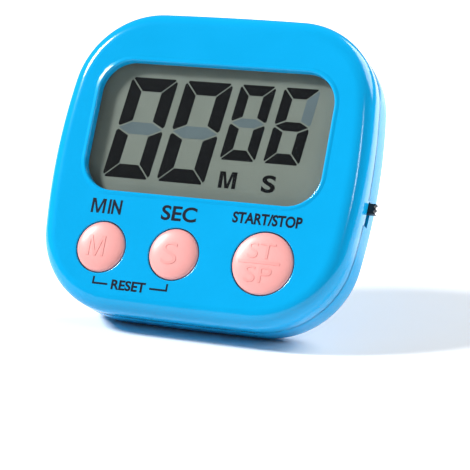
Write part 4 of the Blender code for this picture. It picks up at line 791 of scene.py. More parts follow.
pink_plastic = finish("pink_plastic", PINK, 0.36, 0.02, 0.04, 0.005, 0.00025, 0.000003)
# The relief's deeper pink is painted shade.
relief_pink_painted_shade = finish("relief_pink_painted_shade", SHADE_DARKENED_PINK, 0.42, 0.02, 0.04, 0.004, 0.0002, 0.000003)
silicone = finish("silicone", (0.78, 0.78, 0.76), 0.6, 0.03, 0.08, 0.003, 0.0002, 0.000004)
carbon = finish("carbon", (0.02, 0.02, 0.02), 0.8, 0.1, 0.05, 0.002, 0.0001, 0.000006)
BUTTON_BODIES = {"min": "minute_button", "sec": "second_button", "start_stop": "start_button"}
for name, body in BUTTON_BODIES.items():
    x, radius, crown = button_box(name)
    low, high = limits(f"{name}_button")
    flange_z = lens_high[2]
    turn = np.linspace(0.0, math.pi / 2, 15)[:-1]
    rings = [radius * math.cos(a) ** (2 / CAP_FLATNESS) for a in turn]
    dome = [(r, float(dome_height(r / radius, crown))) for r in rings]
    dome.append((radius * CROWN_SHARE, float(dome_height(CROWN_SHARE, crown))))
    profile = [
        (PLUNGER_RADIUS, low[2]), (PLUNGER_RADIUS, flange_z - FLANGE_THICKNESS),
        (radius + FLANGE_LIP, flange_z - FLANGE_THICKNESS), (radius + FLANGE_LIP, flange_z),
        (radius, flange_z),
    ] + dome
    cap = piece(f"{name}_cap", mesh_of(f"{name}_cap", turned(profile, x, BUTTON_Y, 72)), pink_plastic)
    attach(cap, body)
    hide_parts(f"{name}_button")

    marks = [on_dome(mark, x, radius, crown) for mark in CAP_MARKS[name]]
    relief = piece(f"{name}_relief", mesh_of(f"{name}_relief", joined(*marks)), relief_pink_painted_shade)
    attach(relief, body)

    # The silicone dome: a thin cone between the board and the plunger, which gives way to the push.
    # Its outline goes up the outside, over the top and back down the inside.
    base, tip = limits(f"{name}_dome")
    base_radius = (tip[0] - base[0]) / 2
    wall = [
        (base_radius, base[2]), (base_radius, base[2] + 0.0004), (0.0030, tip[2] - 0.0006),
        (0.0026, tip[2]), (0.0006, tip[2]), (0.0006, tip[2] - 0.0004), (0.0024, tip[2] - 0.0006),
        (base_radius - 0.0008, base[2] + 0.0002), (base_radius - 0.0008, base[2]),
    ]
    skin = lofted([(circle(r, 40, (x, BUTTON_Y)), z) for r, z in wall], ring=True)
    spring_dome = piece(f"{name}_spring_dome", mesh_of(f"{name}_spring_dome", skin), silicone)
    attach(spring_dome, "case")
    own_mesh(spring_dome)
    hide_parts(f"{name}_dome")
    dressed(carbon, f"{name}_contact")


# ---------------------------------------------------------------- rear shell
# The blue rear half: one moulding with the stand's pocket, the cell bay, deep seats for the four
# screws, a ring of sound holes over the buzzer and the switch's slot in its right side.

REAR_FILLET = 0.0050
LAP_THICKNESS = 0.0008
MOUTH_ROUND, SMALL_MOUTH_ROUND = 0.00025, 0.00015
BAY_WALL = 0.0010
BAY_FLOOR = 0.0006
DOOR_PLAY = 0.00015
DOOR_CORNER, LIFT_CORNER, TAB_CORNER = 0.0020, 0.0006, 0.0005
DOOR_LAP, DOOR_END_LAP = 0.0014, 0.0022
STAND_SIDE_PLAY = 0.0003
POCKET_WALL = 0.0012
POCKET_Z = -0.013121
POCKET_TOP, POCKET_BOTTOM = -0.002137, -0.034516
POCKET_CORNER = 0.0006
SEAT_DEPTH, SEAT_RADIUS, BOSS_RADIUS = 0.0062, 0.0022, 0.0030
SHANK_HOLE = 0.0013
SOUND_HOLE_RADIUS, SOUND_HOLE_CIRCLE, SOUND_HOLES = 0.0007, 0.0026, 5
RING_WALL, RING_HEIGHT = 0.0009, 0.0014
SLOT_PLAY = 0.00025
PIN_PLAY = 0.00009

rear_low, rear_high = limits("rear_case")
REAR_Z = float(rear_low[2])
REAR_INNER_Z = REAR_Z + WALL
REAR_TOP_Z = float(rear_high[2]) - LAP_HEIGHT
rear_parting = [
    (case_outline(inset), REAR_TOP_Z - drop) for inset, drop in quarter(PARTING_ROUND, 4)[::-1]
]
rear_sections = [(case_outline(REAR_FILLET + SUPPORT), REAR_Z)]
rear_sections += fillet_sections(REAR_FILLET, 0.0, REAR_Z, 1, 14)
rear_sections += rear_parting
rear_sections += [
    (case_outline(WALL - LAP_THICKNESS), REAR_TOP_Z),
    (case_outline(WALL - LAP_THICKNESS), REAR_TOP_Z + LAP_HEIGHT),
]
hollow_sections = fillet_sections(REAR_FILLET - WALL, WALL, REAR_INNER_Z, 1, 6)
hollow_sections.append((case_outline(WALL), REAR_TOP_Z + LAP_HEIGHT + OVERCUT))


def mouthed(outline, deep_z, face_z, round_radius=MOUTH_ROUND):
    """Cutter that opens through the rear face with a rounded mouth: outline(growth) is the opening
    grown all round, and a quarter circle carries it out to the face."""
    sections = [(outline(0.0), deep_z)]
    sections += [(outline(growth), face_z + rise) for rise, growth in quarter(round_radius, 5)]
    sections.append((outline(round_radius), face_z - OVERCUT))
    return lofted(sections)


def block(left, right, low, high, bottom, top):
    """A plain rectangular solid."""
    return prism(np.array([(left, low), (right, low), (right, high), (left, high)]), bottom, top)


def round_of(radius, x, y, steps=32):
    """Outline of a round opening, as a function of its growth."""
    return lambda growth: circle(radius + growth, steps, (x, y))


plate_high = limits("negative_plate")[1]
far_low = limits("positive_plate")[0]
sleeve_low, sleeve_high = limits("cell_sleeve")
CONTACT_PLAY, CELL_PLAY = 0.00015, 0.0003
PLATE_THICKNESS = 0.0004
CELL_Y = (sleeve_low[1] + sleeve_high[1]) / 2
CELL_Z = (sleeve_low[2] + sleeve_high[2]) / 2
CELL_RADIUS = (sleeve_high[1] - sleeve_low[1]) / 2
BAY_LEFT = plate_high[0] - PLATE_THICKNESS - CONTACT_PLAY
BAY_RIGHT = far_low[0] + PLATE_THICKNESS + CONTACT_PLAY
BAY_TOP = CELL_Y + CELL_RADIUS + CELL_PLAY
BAY_BOTTOM = CELL_Y - CELL_RADIUS - CELL_PLAY
BAY_Z = CELL_Z + CELL_RADIUS + BAY_FLOOR + CLEARANCE
DOOR_INNER_Z = CELL_Z - CELL_RADIUS - CLEARANCE
DOOR_X = (BAY_LEFT + BAY_RIGHT) / 2
DOOR_HALF = (BAY_RIGHT - BAY_LEFT) / 2 + DOOR_END_LAP
DOOR_TOP, DOOR_BOTTOM = BAY_TOP + DOOR_LAP, BAY_BOTTOM - DOOR_LAP


def door_outline(growth):
    """Outline of the cell door's plate, made larger all round by growth."""
    return rounded_rectangle(
        DOOR_X - DOOR_HALF - growth, DOOR_X + DOOR_HALF + growth,
        DOOR_BOTTOM - growth, DOOR_TOP + growth, DOOR_CORNER + growth, 8,
    )


plate_disc_low, plate_disc_high = limits("piezo_plate")
PIEZO_Y = (plate_disc_low[1] + plate_disc_high[1]) / 2
PIEZO_RADIUS = (plate_disc_high[1] - plate_disc_low[1]) / 2
pin_low, pin_high = limits("kickstand_pin")
HINGE_Y, HINGE_Z = (pin_low[1] + pin_high[1]) / 2, (pin_low[2] + pin_high[2]) / 2
PIN_RADIUS = (pin_high[1] - pin_low[1]) / 2
STAND_HALF = float(limits("kickstand")[1][0])
POCKET_HALF = STAND_HALF + STAND_SIDE_PLAY
lever_low, lever_high = limits("switch_lever")
LEVER_TRAVEL = joints["power_slide"]["range_m"][1]
KNOB_TOP, KNOB_LENGTH, KNOB_THICKNESS = -0.0040, 0.0024, 0.0017
KNOB_Z = SPLIT_Z - SLOT_PLAY - KNOB_THICKNESS / 2

screw_places = []
for name in CASE_SCREWS:
    low, high = limits(name)
    screw_places.append(((low[0] + high[0]) / 2, (low[1] + high[1]) / 2))
ring_radius = PIEZO_RADIUS + RING_WALL / 2
kept_inside = [
    block(-POCKET_HALF - POCKET_WALL, POCKET_HALF + POCKET_WALL,
          -CASE_HEIGHT / 2, POCKET_TOP + POCKET_WALL, REAR_Z, POCKET_Z + POCKET_WALL),
    turned([(ring_radius, REAR_Z), (ring_radius, REAR_INNER_Z + RING_HEIGHT)], 0.0, PIEZO_Y),
]
kept_inside += [
    turned([(BOSS_RADIUS, REAR_Z), (BOSS_RADIUS, REAR_TOP_Z - CLEARANCE)], x, y, 32)
    for x, y in screw_places
]
hollow = worked(
    "hollow", mesh_of("hollow", lofted(hollow_sections)),
    *[("DIFFERENCE", mesh_of("kept", solid)) for solid in kept_inside],
)
bay = block(
    BAY_LEFT - BAY_WALL, BAY_RIGHT + BAY_WALL, BAY_BOTTOM - BAY_WALL, BAY_TOP + BAY_WALL,
    REAR_Z + WALL / 2, BAY_Z,
)
bay_inside = block(BAY_LEFT, BAY_RIGHT, BAY_BOTTOM, BAY_TOP, REAR_Z - OVERCUT, BAY_Z - BAY_FLOOR)
DOOR_TAB_X, DOOR_TAB_HALF, DOOR_TAB_THICKNESS, DOOR_TAB_REACH = 0.0215, 0.0022, 0.0008, 0.0009
DOOR_LIFT_HALF, DOOR_LIFT_REACH = 0.0040, 0.0010
notch_reach = math.hypot(DOOR_TAB_REACH, DOOR_TAB_THICKNESS + CLEARANCE + WALL) + DOOR_PLAY
notches = []
for x in (DOOR_X - DOOR_TAB_X, DOOR_X + DOOR_TAB_X):
    half = DOOR_TAB_HALF + DOOR_PLAY
    notches.append(("DIFFERENCE", mesh_of("notch", block(
        x - half, x + half, DOOR_BOTTOM - DOOR_TAB_REACH - DOOR_PLAY, BAY_BOTTOM + OVERCUT,
        REAR_INNER_Z, REAR_Z + notch_reach))))
    notches.append(("DIFFERENCE", mesh_of("opening", block(
        x - half, x + half, DOOR_BOTTOM, BAY_BOTTOM + 2 * OVERCUT,
        DOOR_INNER_Z, REAR_INNER_Z + OVERCUT))))


def lift_outline(growth):
    """Outline of the notch for the door's thumb tab."""
    half = DOOR_LIFT_HALF + DOOR_PLAY + growth
    return rounded_rectangle(
        DOOR_X - half, DOOR_X + half, BAY_TOP + DOOR_LAP / 2,
        DOOR_TOP + DOOR_LIFT_REACH + DOOR_PLAY + growth, LIFT_CORNER + growth, 5,
    )


def pocket_outline(growth):
    """Outline of the stand's pocket."""
    return rounded_rectangle(
        -POCKET_HALF - growth, POCKET_HALF + growth, POCKET_BOTTOM - growth, POCKET_TOP + growth,
        POCKET_CORNER + growth, 5,
    )


seats = [mouthed(round_of(SEAT_RADIUS, x, y), REAR_Z + SEAT_DEPTH, REAR_Z) for x, y in screw_places]
shanks = [
    turned([(SHANK_HOLE, REAR_Z + SEAT_DEPTH - OVERCUT), (SHANK_HOLE, REAR_TOP_Z + OVERCUT)], x, y, 24)
    for x, y in screw_places
]
sound_places = np.concatenate([[(0.0, PIEZO_Y)], circle(SOUND_HOLE_CIRCLE, SOUND_HOLES, (0.0, PIEZO_Y))])
sound_holes = [
    mouthed(round_of(SOUND_HOLE_RADIUS, x, y, 20), REAR_INNER_Z + OVERCUT, REAR_Z, SMALL_MOUTH_ROUND)
    for x, y in sound_places
]
chamber_radius = PIEZO_RADIUS - RING_WALL / 2
chamber_top = REAR_INNER_Z + RING_HEIGHT + OVERCUT
chamber = turned([(chamber_radius, REAR_INNER_Z), (chamber_radius, chamber_top)], 0.0, PIEZO_Y)


def along_x(solid):
    """Turns a solid drawn with its length along z so that its length is along x: x, y become y, z."""
    points, faces = solid
    return points[:, [2, 0, 1]], faces


pin_reach = POCKET_HALF + POCKET_WALL + OVERCUT
pin_hole = along_x(prism(circle(PIN_RADIUS + PIN_PLAY, 32, (HINGE_Y, HINGE_Z)), -pin_reach, pin_reach))
slot_box = block(
    CASE_WIDTH / 2 - WALL - OVERCUT, CASE_WIDTH / 2 + OVERCUT,
    KNOB_TOP - KNOB_LENGTH - LEVER_TRAVEL - SLOT_PLAY, KNOB_TOP + SLOT_PLAY,
    KNOB_Z - KNOB_THICKNESS / 2 - SLOT_PLAY, REAR_TOP_Z + LAP_HEIGHT + OVERCUT,
)
rear_mesh = worked(
    "rear_shell", mesh_of("rear_shell", lofted(rear_sections)),
    ("DIFFERENCE", hollow),
    ("UNION", mesh_of("bay", bay)),
    ("DIFFERENCE", mesh_of("bay_inside", bay_inside)),
    ("DIFFERENCE", mesh_of("door_seat", mouthed(
        lambda growth: door_outline(DOOR_PLAY + growth), DOOR_INNER_Z + CLEARANCE, REAR_Z,
        SMALL_MOUTH_ROUND))),
    *notches,
    ("DIFFERENCE", mesh_of("lift", mouthed(
        lift_outline, DOOR_INNER_Z + CLEARANCE / 2, REAR_Z, SMALL_MOUTH_ROUND))),
    ("DIFFERENCE", mesh_of("chamber", chamber)),
    *[("DIFFERENCE", mesh_of("hole", solid)) for solid in seats + shanks + sound_holes],
    ("DIFFERENCE", mesh_of("pocket", mouthed(pocket_outline, POCKET_Z, REAR_Z))),
    ("DIFFERENCE", mesh_of("pin_hole", pin_hole)),
    ("DIFFERENCE", mesh_of("slot", slot_box)),
)
rear_shell = piece("rear_shell", flattened(rear_mesh), blue_plastic)
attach(rear_shell, "case")
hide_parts("rear_case")


# ---------------------------------------------------------------- slide switch
# The black acetal lever of the on-off switch comes out through the case's right side. Its knob is
# ribbed for a fingertip, and its slider runs in the small steel switch on the board's wing.

RIBS = 3
RIB_DEPTH = 0.00042
RIB_SQUARENESS, RIB_STEPS = 0.7, 12
STEM_SHARE = 0.9              # of the knob's thickness
SLIDER_GAP = 0.0004           # from the slider's end to the switch's side
black_plastic = finish(
    "black_plastic", (0.016, 0.016, 0.018), 0.42, 0.08, 0.06, 0.002, 0.00015, 0.000004,
)
switch_low, switch_high = limits("switch_shell")
knob_root = switch_high[0] + SLOT_PLAY
rib_y = np.linspace(0.0, 1.0, RIBS * RIB_STEPS + 1)
rib_wave = 0.5 - 0.5 * np.cos(math.tau * (RIBS - 1) * rib_y)
rib_x = lever_high[0] - RIB_DEPTH * rib_wave ** RIB_SQUARENESS
knob_outline = np.concatenate([
    [(knob_root, KNOB_TOP - KNOB_LENGTH)],
    np.column_stack([rib_x, KNOB_TOP - KNOB_LENGTH * (1 - rib_y)]),
    [(knob_root, KNOB_TOP)],
])
half = KNOB_THICKNESS / 2
STEM_LENGTH, SLIDER_LENGTH = 0.0020, 0.0036
knob_middle = KNOB_TOP - KNOB_LENGTH / 2
stem = block(
    (switch_low[0] + switch_high[0]) / 2, knob_root + SLOT_PLAY,
    knob_middle - STEM_LENGTH / 2, knob_middle + STEM_LENGTH / 2,
    KNOB_Z - half * STEM_SHARE, KNOB_Z + half * STEM_SHARE,
)
slider = block(
    lever_low[0], switch_high[0] - SLIDER_GAP,
    knob_middle - SLIDER_LENGTH / 2, knob_middle + SLIDER_LENGTH / 2, lever_low[2], lever_high[2],
)
lever_mesh = worked(
    "switch_knob", mesh_of("switch_knob", prism(knob_outline, KNOB_Z - half, KNOB_Z + half)),
    ("UNION", mesh_of("stem", stem)), ("UNION", mesh_of("slider", slider)),
)
lever = piece("switch_knob", lever_mesh, black_plastic)
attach(lever, "side_switch")
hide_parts("switch_lever")


# ---------------------------------------------------------------- cell door
# A flush blue lid over the cell. Two hooks on its lower edge go under the rear wall, a thumb tab
# on its top edge snaps home, and moulded grip bars beside the tab tell a thumb where to push.

DOOR_ROUND = 0.00022
GRIP_BARS, GRIP_PITCH, GRIP_HALF, GRIP_WIDTH, GRIP_DEPTH = 4, 0.0014, 0.0050, 0.0006, 0.00022
GRIP_FIRST, GRIP_ROUND_SHARE = 0.0022, 0.49
door_sections = [(door_outline(-inset), REAR_Z + rise) for inset, rise in quarter(DOOR_ROUND, 5)]
door_sections.append((door_outline(0.0), DOOR_INNER_Z))
door_steps = []
for x in (DOOR_X - DOOR_TAB_X, DOOR_X + DOOR_TAB_X):
    hook_z = REAR_INNER_Z + CLEARANCE
    leg = block(
        x - DOOR_TAB_HALF, x + DOOR_TAB_HALF, DOOR_BOTTOM + DOOR_LAP - DOOR_TAB_THICKNESS,
        DOOR_BOTTOM + DOOR_LAP, DOOR_INNER_Z - OVERCUT, hook_z + DOOR_TAB_THICKNESS / 2,
    )
    hook = block(
        x - DOOR_TAB_HALF, x + DOOR_TAB_HALF, DOOR_BOTTOM - DOOR_TAB_REACH, DOOR_BOTTOM + DOOR_LAP,
        hook_z, hook_z + DOOR_TAB_THICKNESS,
    )
    door_steps += [("UNION", mesh_of("leg", leg)), ("UNION", mesh_of("hook", hook))]
tab = prism(
    rounded_rectangle(DOOR_X - DOOR_LIFT_HALF, DOOR_X + DOOR_LIFT_HALF, DOOR_TOP - DOOR_LAP,
                      DOOR_TOP + DOOR_LIFT_REACH, TAB_CORNER, 5),
    REAR_Z + CLEARANCE, DOOR_INNER_Z - CLEARANCE,
)
grips = []
for k in range(GRIP_BARS):
    y = DOOR_TOP - GRIP_FIRST - k * GRIP_PITCH
    grips.append(prism(
        rounded_rectangle(DOOR_X - GRIP_HALF, DOOR_X + GRIP_HALF, y - GRIP_WIDTH / 2, y + GRIP_WIDTH / 2,
                          GRIP_WIDTH * GRIP_ROUND_SHARE, 4),
        REAR_Z - OVERCUT, REAR_Z + GRIP_DEPTH,
    ))
door_mesh = worked(
    "cell_door", mesh_of("cell_door", lofted(door_sections)), *door_steps,
    ("UNION", mesh_of("tab", tab)), *[("DIFFERENCE", mesh_of("grip", solid)) for solid in grips],
)
door = piece("cell_door", flattened(door_mesh), blue_plastic)
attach(door, "door")
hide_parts("battery_door")


# ---------------------------------------------------------------- folding stand
# A blue flap on a steel pin, whose rounded tip is the timer's rear foot. A ferrite bar magnet is
# pressed into a seat in its outer face, so that the folded timer also holds on to steel.

STAND_THICKNESS = 0.0024
STAND_CORNER = 0.0040
HEEL_LENGTH = 0.0024
BARREL_RADIUS = 0.0015
MAGNET_PLAY = 0.0001
MAGNET_WIDTH, MAGNET_HEIGHT = 0.0220, 0.0100
MAGNET_ROUND = 0.00035
MAGNET_CORNER = MAGNET_ROUND * 1.5
FLAP_ROUND = 0.00022

# The open stand's own axes are the case's, turned about the pin by the angle that it opens.
opening = -math.radians(joints["stand_fold"]["range_deg"][0])
turn_back = np.array([
    (1.0, 0.0, 0.0),
    (0.0, math.cos(opening), -math.sin(opening)),
    (0.0, math.sin(opening), math.cos(opening)),
])
STAND_AXES = CASE_AXES @ turn_back.T
STAND_ORIGIN = np.array(joints["stand_fold"]["pos_m"]) - np.array((0.0, HINGE_Y, HINGE_Z)) @ STAND_AXES
stand_low = limits("kickstand", STAND_ORIGIN, STAND_AXES)[0]
STAND_OUTER_Z = HINGE_Z - BARREL_RADIUS
STAND_INNER_Z = STAND_OUTER_Z + STAND_THICKNESS
tip_y = stand_low[1] + STAND_THICKNESS / 2
heel_y = HINGE_Y + HEEL_LENGTH
barrel_edge = math.asin((STAND_INNER_Z - HINGE_Z) / BARREL_RADIUS)
stand_profile = np.concatenate([
    arc(STAND_THICKNESS / 2, math.pi / 2, 1.5 * math.pi, 20,
        (tip_y, STAND_OUTER_Z + STAND_THICKNESS / 2)),
    [(HINGE_Y + BARREL_RADIUS / 2, STAND_OUTER_Z), (heel_y, STAND_OUTER_Z + STAND_THICKNESS / 2),
     (heel_y, STAND_INNER_Z)],
    arc(BARREL_RADIUS, barrel_edge, math.pi - barrel_edge, 16, (HINGE_Y, HINGE_Z)),
])


def stand_mesh(name, solid):
    """Mesh of a solid drawn on the folded stand, carried to where the open stand is."""
    return mesh_of(name, solid, STAND_ORIGIN, STAND_AXES)


stand_plan = rounded_rectangle(
    -STAND_HALF, STAND_HALF, stand_low[1], HINGE_Y + HEEL_LENGTH + STAND_CORNER + OVERCUT,
    STAND_CORNER, 16,
)
reach = STAND_HALF + OVERCUT
magnet_y = (HINGE_Y + tip_y) / 2
magnet_low, magnet_high = limits("magnet", STAND_ORIGIN, STAND_AXES)
magnet_seat = block(
    -MAGNET_WIDTH / 2 - MAGNET_PLAY, MAGNET_WIDTH / 2 + MAGNET_PLAY,
    magnet_y - MAGNET_HEIGHT / 2 - MAGNET_PLAY, magnet_y + MAGNET_HEIGHT / 2 + MAGNET_PLAY,
    STAND_OUTER_Z - OVERCUT, magnet_high[2] + MAGNET_PLAY,
)
flap_mesh = worked(
    "stand_flap", stand_mesh("stand_flap", along_x(prism(stand_profile, -reach, reach))),
    ("INTERSECT", stand_mesh("plan", prism(stand_plan, REAR_Z - OVERCUT, POCKET_Z))),
    ("DIFFERENCE", stand_mesh("bore", along_x(prism(
        circle(PIN_RADIUS + PIN_PLAY, 32, (HINGE_Y, HINGE_Z)), -reach - OVERCUT, reach + OVERCUT)))),
    ("DIFFERENCE", stand_mesh("magnet_seat", magnet_seat)),
    origin=STAND_ORIGIN, axes=STAND_AXES,
)
flap = piece("stand_flap", flap_mesh, blue_plastic)
edges = flap.modifiers.new("edges", "BEVEL")
edges.width = FLAP_ROUND
edges.segments = 2
edges.limit_method = "ANGLE"
edges.angle_limit = SHARP_ANGLE
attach(flap, "stand")
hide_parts("kickstand")


def magnet_outline(inset):
    """Outline of the bar magnet, drawn in all round by inset."""
    return rounded_rectangle(
        magnet_low[0] + inset, magnet_high[0] - inset, magnet_low[1] + inset, magnet_high[1] - inset,
        MAGNET_CORNER - inset, 5,
    )


magnet_sections = [
    (magnet_outline(inset), magnet_low[2] + rise) for inset, rise in quarter(MAGNET_ROUND, 5)
]
magnet_sections.append((magnet_outline(0.0), magnet_high[2]))
ferrite = finish(
    "ferrite", (0.045, 0.045, 0.05), 0.55, 0.25, 0.12, 0.0025, 0.00018, 0.00001, metallic=0.25,
)
magnet = piece("bar_magnet", stand_mesh("bar_magnet", lofted(magnet_sections)), ferrite)
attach(magnet, "stand")
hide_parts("magnet")

steel = finish(
    "plated_steel", (0.62, 0.62, 0.60), 0.28, 0.05, 0.08, 0.002, 0.0002, 0.000003, metallic=1.0,
)
PIN_ROUND = 0.0002
pin_profile = [
    (PIN_RADIUS - PIN_ROUND, pin_low[0]), (PIN_RADIUS, pin_low[0] + PIN_ROUND),
    (PIN_RADIUS, pin_high[0] - PIN_ROUND), (PIN_RADIUS - PIN_ROUND, pin_high[0]),
]
pin = piece("stand_pin", mesh_of("stand_pin", along_x(turned(pin_profile, HINGE_Y, HINGE_Z, 40))), steel)
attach(pin, "case")
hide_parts("kickstand_pin")


# ---------------------------------------------------------------- screws
# Four zinc-plated pan-head screws with a cross recess close the case from the rear, down in their
# wells, and three shorter ones hold the board. A screw is one turned blank with the recess pressed in.

RECESS_DEPTH = 0.00055
RECESS_HALF_LENGTH, RECESS_HALF_WIDTH = 0.0011, 0.00025
RECESS_TAPER = 0.7            # the recess narrows to this share at its floor
HEAD_HEIGHT = 0.0012
HEAD_DOME_SHARE = 0.55        # of the head's height that its dome takes
HEAD_START = 0.25             # radians from the axis to the dome's first ring
SHANK_RADIUS = 0.0010
THREAD_PITCH = 0.0005
THREAD_DEPTH = 0.00012
THREAD_START = 0.0006         # plain shank under the head
THREAD_SHARE = 0.98           # of the pitch that a thread takes
TIP_SHARE, POINT_SHARE = 0.8, 0.25    # radius where the tip begins, and at its end

zinc = finish("zinc_plate", (0.56, 0.57, 0.59), 0.33, 0.08, 0.10, 0.0025, 0.0002, 0.000004, metallic=1.0)


def recess_blade(half_length, half_width, deep_z, mouth_z, x, y):
    """One slot of a cross recess: a block whose floor is smaller than its mouth by the taper."""
    corners = np.array([(-1, -1), (1, -1), (1, 1), (-1, 1)]) * (half_length, half_width)
    return lofted([(corners + (x, y), mouth_z), (corners * RECESS_TAPER + (x, y), deep_z)])


for name in CASE_SCREWS:
    low, high = limits(name)
    x, y = (low[:2] + high[:2]) / 2
    head = (high[0] - low[0]) / 2
    dome = [
        (head * math.sin(a), low[2] + HEAD_DOME_SHARE * HEAD_HEIGHT * (1 - math.cos(a)))
        for a in np.linspace(HEAD_START, math.pi / 2, 9)
    ]
    seat = low[2] + HEAD_HEIGHT
    threads = []
    turn_z = seat + THREAD_START
    while turn_z + THREAD_PITCH < high[2] - SHANK_RADIUS:
        threads += [
            (SHANK_RADIUS - THREAD_DEPTH, turn_z), (SHANK_RADIUS, turn_z + THREAD_PITCH / 2),
            (SHANK_RADIUS - THREAD_DEPTH, turn_z + THREAD_PITCH * THREAD_SHARE),
        ]
        turn_z += THREAD_PITCH
    profile = dome + [(head, seat), (SHANK_RADIUS - THREAD_DEPTH, seat)] + threads
    profile += [
        (SHANK_RADIUS * TIP_SHARE, high[2] - SHANK_RADIUS * TIP_SHARE),
        (SHANK_RADIUS * POINT_SHARE, high[2]),
    ]
    recess = [
        recess_blade(*half, low[2] + RECESS_DEPTH, low[2] - OVERCUT / 2, x, y)
        for half in ((RECESS_HALF_LENGTH, RECESS_HALF_WIDTH), (RECESS_HALF_WIDTH, RECESS_HALF_LENGTH))
    ]
    mesh = worked(
        f"{name}_body", mesh_of(f"{name}_body", turned(profile, x, y, 40)),
        *[("DIFFERENCE", mesh_of("recess", blade)) for blade in recess],
    )
    screw = piece(f"{name}_body", mesh, zinc)
    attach(screw, "case")
    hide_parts(name)
dressed(zinc, *BOARD_SCREWS)


# ---------------------------------------------------------------- cell and its contacts
# One AAA cell of 10.5 x 44.5 mm lies across the case: a steel can in a printed film shrunk round it.
# A conical spring bears on its flat end, and stamped, plated plates at both ends carry the current.

NUB_LENGTH, NUB_RADIUS = 0.0010, 0.0019
NUB_ROUND, NUB_FOOT, NUB_FOOT_SHARE = 0.0002, 0.0001, 1.15
CAN_ROUND = 0.0003
CAN_END_SHARES = (0.80, 0.93)    # rings that keep the flat end's shading flat
FILM_SLACK = 0.00002
SPRING_WIRE = 0.00030
SPRING_WIDE, SPRING_NARROW = 0.0031, 0.0022
SPRING_TURNS = 3.0

can_low, can_high = limits("cell_can")
can_y, can_z = (can_low[1:] + can_high[1:]) / 2
can_radius = (can_high[1] - can_low[1]) / 2
shoulder_x = can_high[0] - NUB_LENGTH
can_profile = [(can_radius * share, can_low[0]) for share in CAN_END_SHARES]
can_edge = quarter(CAN_ROUND, 5)
can_profile += [(can_radius - inset, can_low[0] + along) for inset, along in can_edge]
can_profile += [(can_radius - inset, shoulder_x - along) for along, inset in can_edge]
can_profile += [(NUB_RADIUS * NUB_FOOT_SHARE, shoulder_x), (NUB_RADIUS, shoulder_x + NUB_FOOT)]
can_profile += [(NUB_RADIUS - inset, can_high[0] - along) for along, inset in quarter(NUB_ROUND, 4)]
can = piece("cell_body", mesh_of("cell_body", along_x(turned(can_profile, can_y, can_z, 72))), steel)
can.modifiers.new("edges", "WEIGHTED_NORMAL")
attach(can, "case")
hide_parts("cell_can")

curl = (CELL_RADIUS - can_radius) / 2
film_profile = [
    (CELL_RADIUS - curl, sleeve_low[0]), (CELL_RADIUS, sleeve_low[0] + curl),
    (CELL_RADIUS, sleeve_high[0] - curl), (CELL_RADIUS - curl, sleeve_high[0]),
]
film_inside = [(can_radius + FILM_SLACK, sleeve_high[0]), (can_radius + FILM_SLACK, sleeve_low[0])]
shrunk_film = finish("cell_film", (0.05, 0.09, 0.13), 0.28, 0.08, 0.05, 0.008, 0.0004, 0.000002)
film_rings = [(circle(r, 72, (can_y, can_z)), x) for r, x in film_profile + film_inside]
film_solid = along_x(lofted(film_rings, ring=True))
film_wrap = piece("cell_wrap", mesh_of("cell_wrap", film_solid), shrunk_film)
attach(film_wrap, "case")
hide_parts("cell_sleeve")

spring_low, spring_high = limits("cell_spring")
angle = np.linspace(0.0, math.tau * SPRING_TURNS, int(SPRING_TURNS * 48) + 1)
share = angle / angle[-1]
coil_radius = SPRING_WIDE + (SPRING_NARROW - SPRING_WIDE) * share
coil = np.stack([
    spring_low[0] + SPRING_WIRE + (spring_high[0] - spring_low[0] - 2 * SPRING_WIRE) * share,
    can_y + coil_radius * np.cos(angle), can_z + coil_radius * np.sin(angle),
], axis=1)


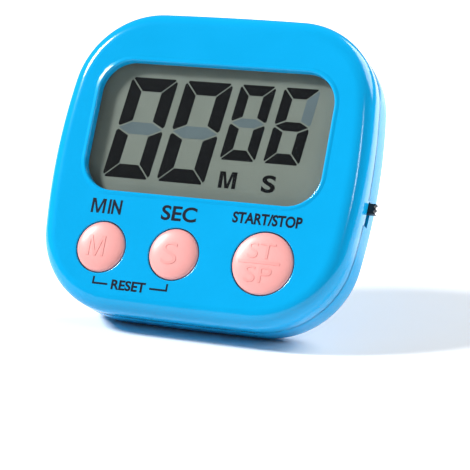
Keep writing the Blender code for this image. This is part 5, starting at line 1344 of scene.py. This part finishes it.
def tube(path, radius, sides=12):
    """A round wire along a path: at each point a ring square to the path, its first spoke being the
    last ring's spoke made square to the new direction, and a flat end on the first and last rings."""
    heading = np.gradient(path, axis=0)
    heading /= np.linalg.norm(heading, axis=1)[:, None]
    spoke = np.cross(heading[0], (0.31, 0.52, 0.79))
    turn = np.linspace(0.0, math.tau, sides, endpoint=False)[:, None]
    rings = []
    for place, ahead in zip(path, heading):
        spoke = spoke - ahead * (spoke @ ahead)
        spoke /= np.linalg.norm(spoke)
        rings.append(place + radius * (np.cos(turn) * spoke + np.sin(turn) * np.cross(ahead, spoke)))
    count = len(rings)
    faces = grid_quads(count, sides, False, True)[:, ::-1].tolist()
    ends = [list(range(sides))[::-1], list(range((count - 1) * sides, count * sides))]
    return np.concatenate(rings), faces + ends


spring = piece("spring_coil", mesh_of("spring_coil", tube(coil, SPRING_WIRE)), steel)
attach(spring, "case")
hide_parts("cell_spring")
dressed(steel, "positive_plate", "negative_plate")


# ---------------------------------------------------------------- circuit board, switch and sounder
# A green glass-fibre board carries the chip under its drop of black resin, the crystal, chip
# resistors and capacitors. The slide switch has a folded steel shell, and the sounder a brass disc.

dressed(finish("board_laminate", (0.012, 0.15, 0.05), 0.42, 0.35, 0.10, 0.0016, 0.0002, 0.000006),
        "main_board")
dressed(finish("black_resin", (0.009, 0.009, 0.010), 0.22, 0.1, 0.06, 0.002, 0.0004, 0.000006),
        "controller_blob")
dressed(finish("chip_resistor", (0.028, 0.028, 0.030), 0.40, 0.2, 0.08, 0.0006, 0.0001, 0.000003),
        "resistor_left", "resistor_right")
dressed(finish("chip_capacitor", (0.44, 0.31, 0.19), 0.52, 0.15, 0.08, 0.0006, 0.0001, 0.000004),
        "capacitor_left", "capacitor_right")
dressed(steel, "crystal_can", "switch_shell")
dressed(finish("phenolic", (0.15, 0.075, 0.03), 0.6, 0.25, 0.08, 0.001, 0.0001, 0.000006),
        "switch_base")
dressed(finish("brass", (0.72, 0.50, 0.19), 0.30, 0.10, 0.12, 0.003, 0.0002, 0.000003, metallic=1.0),
        "piezo_plate")
dressed(finish("white_ceramic", (0.85, 0.83, 0.78), 0.5, 0.04, 0.06, 0.002, 0.0001, 0.000003),
        "piezo_ceramic")


# ---------------------------------------------------------------- wires
# Stranded wires in soft vinyl run from the contact plates and the sounder to the board: red and
# black to the cell, red and blue to the sounder. They are soldered at both ends.

for name, colour, nodes in (
    ("red_wire", (0.52, 0.018, 0.018), ("positive_wire", "piezo_wire_inner")),
    ("black_wire", (0.02, 0.02, 0.02), ("negative_wire",)),
    ("blue_wire", (0.018, 0.07, 0.42), ("piezo_wire_outer",)),
):
    dressed(finish(name, colour, 0.42, 0.08, 0.06, 0.002, 0.0002, 0.000004), *nodes)
